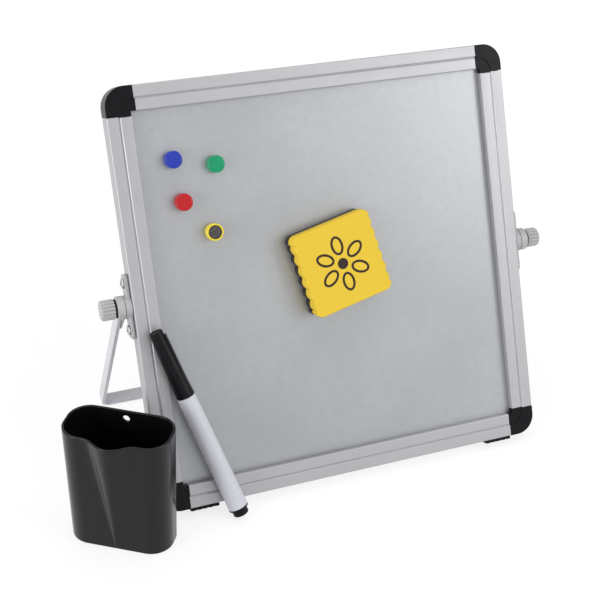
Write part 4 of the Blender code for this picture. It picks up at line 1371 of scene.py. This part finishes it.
@dataclass
class Marker:
    """The marker, measured up from its end plug, and its cap."""

    board: BoardFrame
    lean: float = math.radians(17.13)
    foot_share: float = 0.1822
    cap_length: float = 42.9 * MM
    barrel_length: float = 76.5 * MM
    lower_radius: float = 6.15 * MM
    upper_radius: float = 5.65 * MM
    bore_radius: float = 4.6 * MM
    barrel_edge: float = 0.2 * MM
    plug_length: float = 4.6 * MM
    plug_radius: float = 4.8 * MM
    plug_edge: float = 1.0 * MM
    flange: float = 0.6 * MM
    spigot: float = 5.0 * MM
    cap_top_radius: float = 4.1 * MM
    cap_top: float = 2.0 * MM
    cap_wall: float = 0.9 * MM
    cap_edge: float = 0.5 * MM
    rim_height: float = 0.45 * MM
    rim_width: float = 0.7 * MM
    clip_drop: float = 3.0 * MM
    clip_foot: float = 6.5 * MM
    clip_width: float = 2.6 * MM
    clip_rise: float = 1.1 * MM
    clip_turn: float = math.radians(-28.0)

    @property
    def place(self) -> Matrix:
        """The marker's frame: Z up its axis, its lower end at the origin and its foot on the ground.

        Returns:
            The matrix.
        """
        board = self.board
        rise = (board.place.to_3x3() @ Vector((0, 0, 1))).z * math.cos(self.lean)
        tilt = (board.place.to_3x3() @ Vector((0, -1, 0))).z
        rim = self.plug_radius - self.plug_edge
        height = rim * math.sqrt(1 - rise * rise) + self.plug_edge * (1 - rise)
        standoff = self.lower_radius + CLEARANCE
        up = (height - board.place.translation.z - standoff * tilt) / math.sqrt(1 - tilt * tilt)
        across = (self.foot_share - 1 / 2) * board.width
        return board.place @ at((across, -standoff, up), -self.lean, "Y")

    @property
    def barrel_start(self) -> float:
        """Height of the barrel's lower end."""
        return self.plug_length + self.flange + CLEARANCE

    def plug(self) -> BMesh:
        """The end plug: a round foot below a flange, and a spigot in the barrel.

        Returns:
            The closed solid.
        """
        foot, edge, flange = self.plug_radius, self.plug_edge, self.plug_length + self.flange
        spigot, top = self.bore_radius - CLEARANCE, flange + self.spigot
        profile = [(0, 0), *arc((foot - edge, edge), edge, 3, 4, 8), (foot, self.plug_length)]
        profile += [(self.lower_radius, self.plug_length), (self.lower_radius, flange)]
        profile += [(spigot, flange), (spigot, top), (0, top)]
        return turned(profile, segments=72)

    def barrel(self) -> BMesh:
        """The tapered barrel, its ends slightly rounded.

        Returns:
            The closed solid.
        """
        bore, edge = self.bore_radius, self.barrel_edge
        wide, narrow = self.lower_radius, self.upper_radius
        low, high = self.barrel_start, self.barrel_start + self.barrel_length
        profile = [(bore, low), (wide - edge, low), (wide, low + edge)]
        profile += [(narrow, high - edge), (narrow - edge, high), (bore, high)]
        return turned(profile, segments=96, ring=True)

    def cap(self) -> BMesh:
        """The cap about Z from its mouth, with its clip and a low rim round its top.

        Returns:
            The closed solid.
        """
        length, wall = self.cap_length, self.cap_wall
        wide, narrow, edge = self.upper_radius, self.cap_top_radius, self.cap_edge
        ceiling, floor, inner = length - self.cap_top, length - self.rim_height, narrow - self.rim_width
        profile = [(0, ceiling), (narrow - wall, ceiling), (wide - wall, 0)]
        profile += arc((wide - edge, edge), edge, 3, 4, 4)
        profile += arc((narrow - edge / 2, length - edge / 2), edge / 2, 0, 1, 4)
        profile += [(inner, length), (inner - edge / 4, floor), (0, floor)]
        low = (narrow - wall / 4, -self.clip_width / 2, self.clip_foot)
        high = (narrow + self.clip_rise, self.clip_width / 2, length - self.clip_drop)
        clip = moved(soften(block(low, high), wall / 4), at((0, 0, 0), self.clip_turn))
        return joined(turned(profile, segments=96), clip, Join.WELD)

    def build(self) -> None:
        """Build and dress the marker and its cap."""
        place = self.place
        Piece("marker_end_plug", BLACK_ABS, "marker").add(self.plug(), place)
        Piece("marker_barrel", WHITE_PP, "marker").add(self.barrel(), place)
        dress("marker_nib_holder", BLACK_ABS, place)
        for word in ("nib", "ink_reservoir"):
            dress(f"marker_{word}", INK_FIBRE, place)
        mouth = place @ at((0, 0, self.barrel_start + self.barrel_length + CLEARANCE))
        Piece("marker_cap", BLACK_ABS, "marker_cap_loose").add(self.cap(), mouth)


@dataclass
class PenCup:
    """The tapered oval cup, whose front swells in the middle."""

    width: float = 64.2 * MM
    depth: float = 32.3 * MM
    height: float = 78.9 * MM
    wall: float = 1.6 * MM
    floor: float = 2.0 * MM
    taper: float = 1.1 * MM
    corner: float = 13.1 * MM
    corner_steps: int = 20
    foot: float = 1.0 * MM
    swell: float = 6.8 * MM
    swell_width: float = 24.8 * MM
    swell_reach: float = 1.5
    swell_blend: float = 0.34
    swell_steps: int = 30
    hole_radius: float = 2.2 * MM
    hole_drop: float = 5.4 * MM
    hole_offset: float = 0.9 * MM
    turn: float = math.radians(-34.1)

    def swell_rise(self, across: float) -> float:
        """The swell's share of its full rise, at a share of its half width from its middle."""
        crown = math.cos(QUARTER * across)
        return (crown + math.hypot(crown, self.swell_blend)) / 2

    def ring(self, height: float, inset: float) -> list[Point3]:
        """The cup's outline at a height, its front towards -Y.

        Args:
            height: The height.
            inset: How far it is moved in.

        Returns:
            Its points.
        """
        share = height / self.height
        shrink = self.taper * (1 - share) + inset
        x, y, radius = self.width / 2 - shrink, self.depth / 2 - shrink, self.corner - inset
        half = self.swell_width / 2 * share
        points = []
        for i in range(-self.swell_steps, self.swell_steps + 1):
            across = self.swell_reach * i / self.swell_steps
            rise = self.swell_rise(across) - self.swell_rise(self.swell_reach)
            points.append((half * across, -y - self.swell * share * rise))
        for quarter in range(3, 7):
            across, back = CORNERS[quarter % 4]
            centre = (across * (x - radius), back * (y - radius))
            points += arc(centre, radius, quarter, quarter + 1, self.corner_steps)
        return [(px, py, height) for px, py in points]

    def shape(self) -> BMesh:
        """The cup on Z = 0, with a round lip and the hole through its back wall.

        Returns:
            The closed solid.
        """
        lip, foot = self.wall / 2, self.foot
        profile = arc((foot, foot), foot, 3, 2, 5) + arc((lip, self.height - lip), lip, 2, 0, 10)
        profile += arc((self.wall + foot, self.floor + foot), foot, 2, 3, 5)
        cup = skin([self.ring(height, inset) for inset, height in profile])
        drill = facing_y(cylinder(self.hole_radius, 0, self.depth))
        spot = at((-self.hole_offset, 0, self.height - self.hole_drop))
        return joined(cup, moved(drill, spot), Join.CUT)

    def build(self) -> None:
        """Build and dress the cup."""
        mount = next(item["pos_m"] for item in frame["record"]["mounts"] if item["name"] == "cup_base")
        Piece("pen_cup", CUP_PS, "cup", smooth=50).add(self.shape(), at(mount, self.turn))


@dataclass(frozen=True)
class Lamp:
    """A square soft lamp aimed at the board: its name, its place, its side and its power in watts."""

    name: str
    place: Point3
    size: float
    power: float

    def build(self) -> None:
        """Set up the lamp."""
        data = bpy.data.lights.new(self.name, "AREA")
        data.shape = "SQUARE"
        data.size = self.size
        data.energy = self.power
        aim = (middle("core_board") - Vector(self.place)).to_track_quat("-Z", "Y")
        add_object(self.name, data).matrix_world = at(self.place) @ aim.to_matrix().to_4x4()


@dataclass
class Studio:
    """A white sweep, soft lamps and the camera, which is placed from the board's lower front edge."""

    board: BoardFrame
    camera_place: Point3 = (-267.27 * MM, -555.94 * MM, 503.69 * MM)
    camera_turn: float = math.radians(21.95)
    camera_dip: float = math.radians(-31.60)
    camera_roll: float = math.radians(1.765)
    lens: float = 74.96
    sensor: float = 36.0
    nearest: float = 0.05
    ambient: float = 0.55
    floor_size: float = 8.0
    floor_drop: float = 0.1 * MM
    floor_white: float = 0.95
    floor_glow: float = 1.09
    floor_share: float = 0.72
    floor_fade: Point = (0.45, 1.2)
    lamps: tuple[Lamp, ...] = (
        Lamp("key", (1.5, -1.4, 1.1), 1.2, 14.2),
        Lamp("left", (-1.6, -0.5, 0.45), 0.8, 12.0),
        Lamp("top", (0.0, 0.2, 1.9), 1.6, 7.5),
    )

    def camera(self) -> None:
        """Set up the camera of the photograph's framing."""
        data = bpy.data.cameras.new("camera")
        data.lens = self.lens
        data.sensor_width = self.sensor
        data.clip_start = self.nearest
        made = add_object("camera", data)
        stand_point = at(self.board.place.translation + Vector(self.camera_place), -self.camera_turn)
        roll = Matrix.Rotation(self.camera_roll, 4, "Z")
        made.matrix_world = stand_point @ Matrix.Rotation(QUARTER + self.camera_dip, 4, "X") @ roll
        bpy.context.scene.camera = made

    def seen_share(self, tree: NodeTree) -> NodeSocket:
        """One for rays that see the background directly, in metal or through glass.

        Args:
            tree: The tree of a material or the world.

        Returns:
            The socket.
        """
        path = add_node(tree, "LightPath")
        share = path.outputs["Is Camera Ray"]
        for ray in ("Is Glossy Ray", "Is Transmission Ray"):
            both = add_node(tree, "Math", {0: share, 1: path.outputs[ray]}, operation="MAXIMUM")
            share = both.outputs[0]
        return share

    def world(self) -> None:
        """White where it is seen, and plain ambient light on the object."""
        world = bpy.data.worlds.new("studio")
        world.use_nodes = True
        tree = world.node_tree
        strength = add_node(tree, "MapRange", {"Value": self.seen_share(tree), "To Min": self.ambient})
        background = tree.nodes["Background"]
        background.inputs["Color"].default_value = WHITE
        tree.links.new(strength.outputs[0], background.inputs["Strength"])
        bpy.context.scene.world = world

    def sweep(self) -> Material:
        """Matt white that keeps the object's shadow, and turns plain white further off.

        Returns:
            The material.
        """
        material = bpy.data.materials.new("white_sweep")
        material.use_nodes = True
        tree = material.node_tree
        tree.nodes.remove(tree.nodes["Principled BSDF"])
        matt = add_node(tree, "BsdfDiffuse", {"Color": (*[self.floor_white] * 3, 1)})
        glow = add_node(tree, "Emission", {"Color": WHITE, "Strength": self.floor_glow})
        where = add_node(tree, "TexCoord").outputs["Object"]
        away = add_node(tree, "VectorMath", {0: where}, operation="LENGTH").outputs["Value"]
        near, far = self.floor_fade
        fade = {"Value": away, "From Min": near, "From Max": far, "To Min": self.floor_share}
        part = add_node(tree, "MapRange", fade, interpolation_type="SMOOTHSTEP").outputs[0]
        share = add_node(tree, "Math", {0: self.seen_share(tree), 1: part}, operation="MULTIPLY")
        mix = add_node(tree, "MixShader", {0: share.outputs[0], 1: matt.outputs[0], 2: glow.outputs[0]})
        tree.links.new(mix.outputs[0], tree.nodes["Material Output"].inputs["Surface"])
        return material

    def floor(self) -> None:
        """The floor, just below the object."""
        bm = bmesh.new()
        bmesh.ops.create_grid(bm, x_segments=1, y_segments=1, size=self.floor_size / 2)
        made = add_object("floor", mesh_of("floor", moved(bm, at((0, 0, -self.floor_drop)))))
        made.data.materials.append(self.sweep())

    def build(self) -> None:
        """Set up the camera, the sweep and the lamps."""
        self.camera()
        self.world()
        self.floor()
        for lamp in self.lamps:
            lamp.build()
        bpy.context.scene.view_settings.view_transform = "Standard"


def main() -> None:
    """Build the studio and every sub-assembly, in order."""
    logging.basicConfig(level=logging.INFO, format="%(name)s: %(message)s")
    board = BoardFrame()
    pivots = Pivots(board)
    assemblies = [
        Studio(board), Rails(board), CornerCaps(board), WritingPanel(board), FootPads(board),
        pivots, Knobs(board, pivots), Stand(board, pivots), Magnets(board), Eraser(board),
        Marker(board), PenCup(),
    ]
    for assembly in assemblies:
        LOG.info("building %s", type(assembly).__name__)
        assembly.build()


if __name__ == "__main__":
    main()
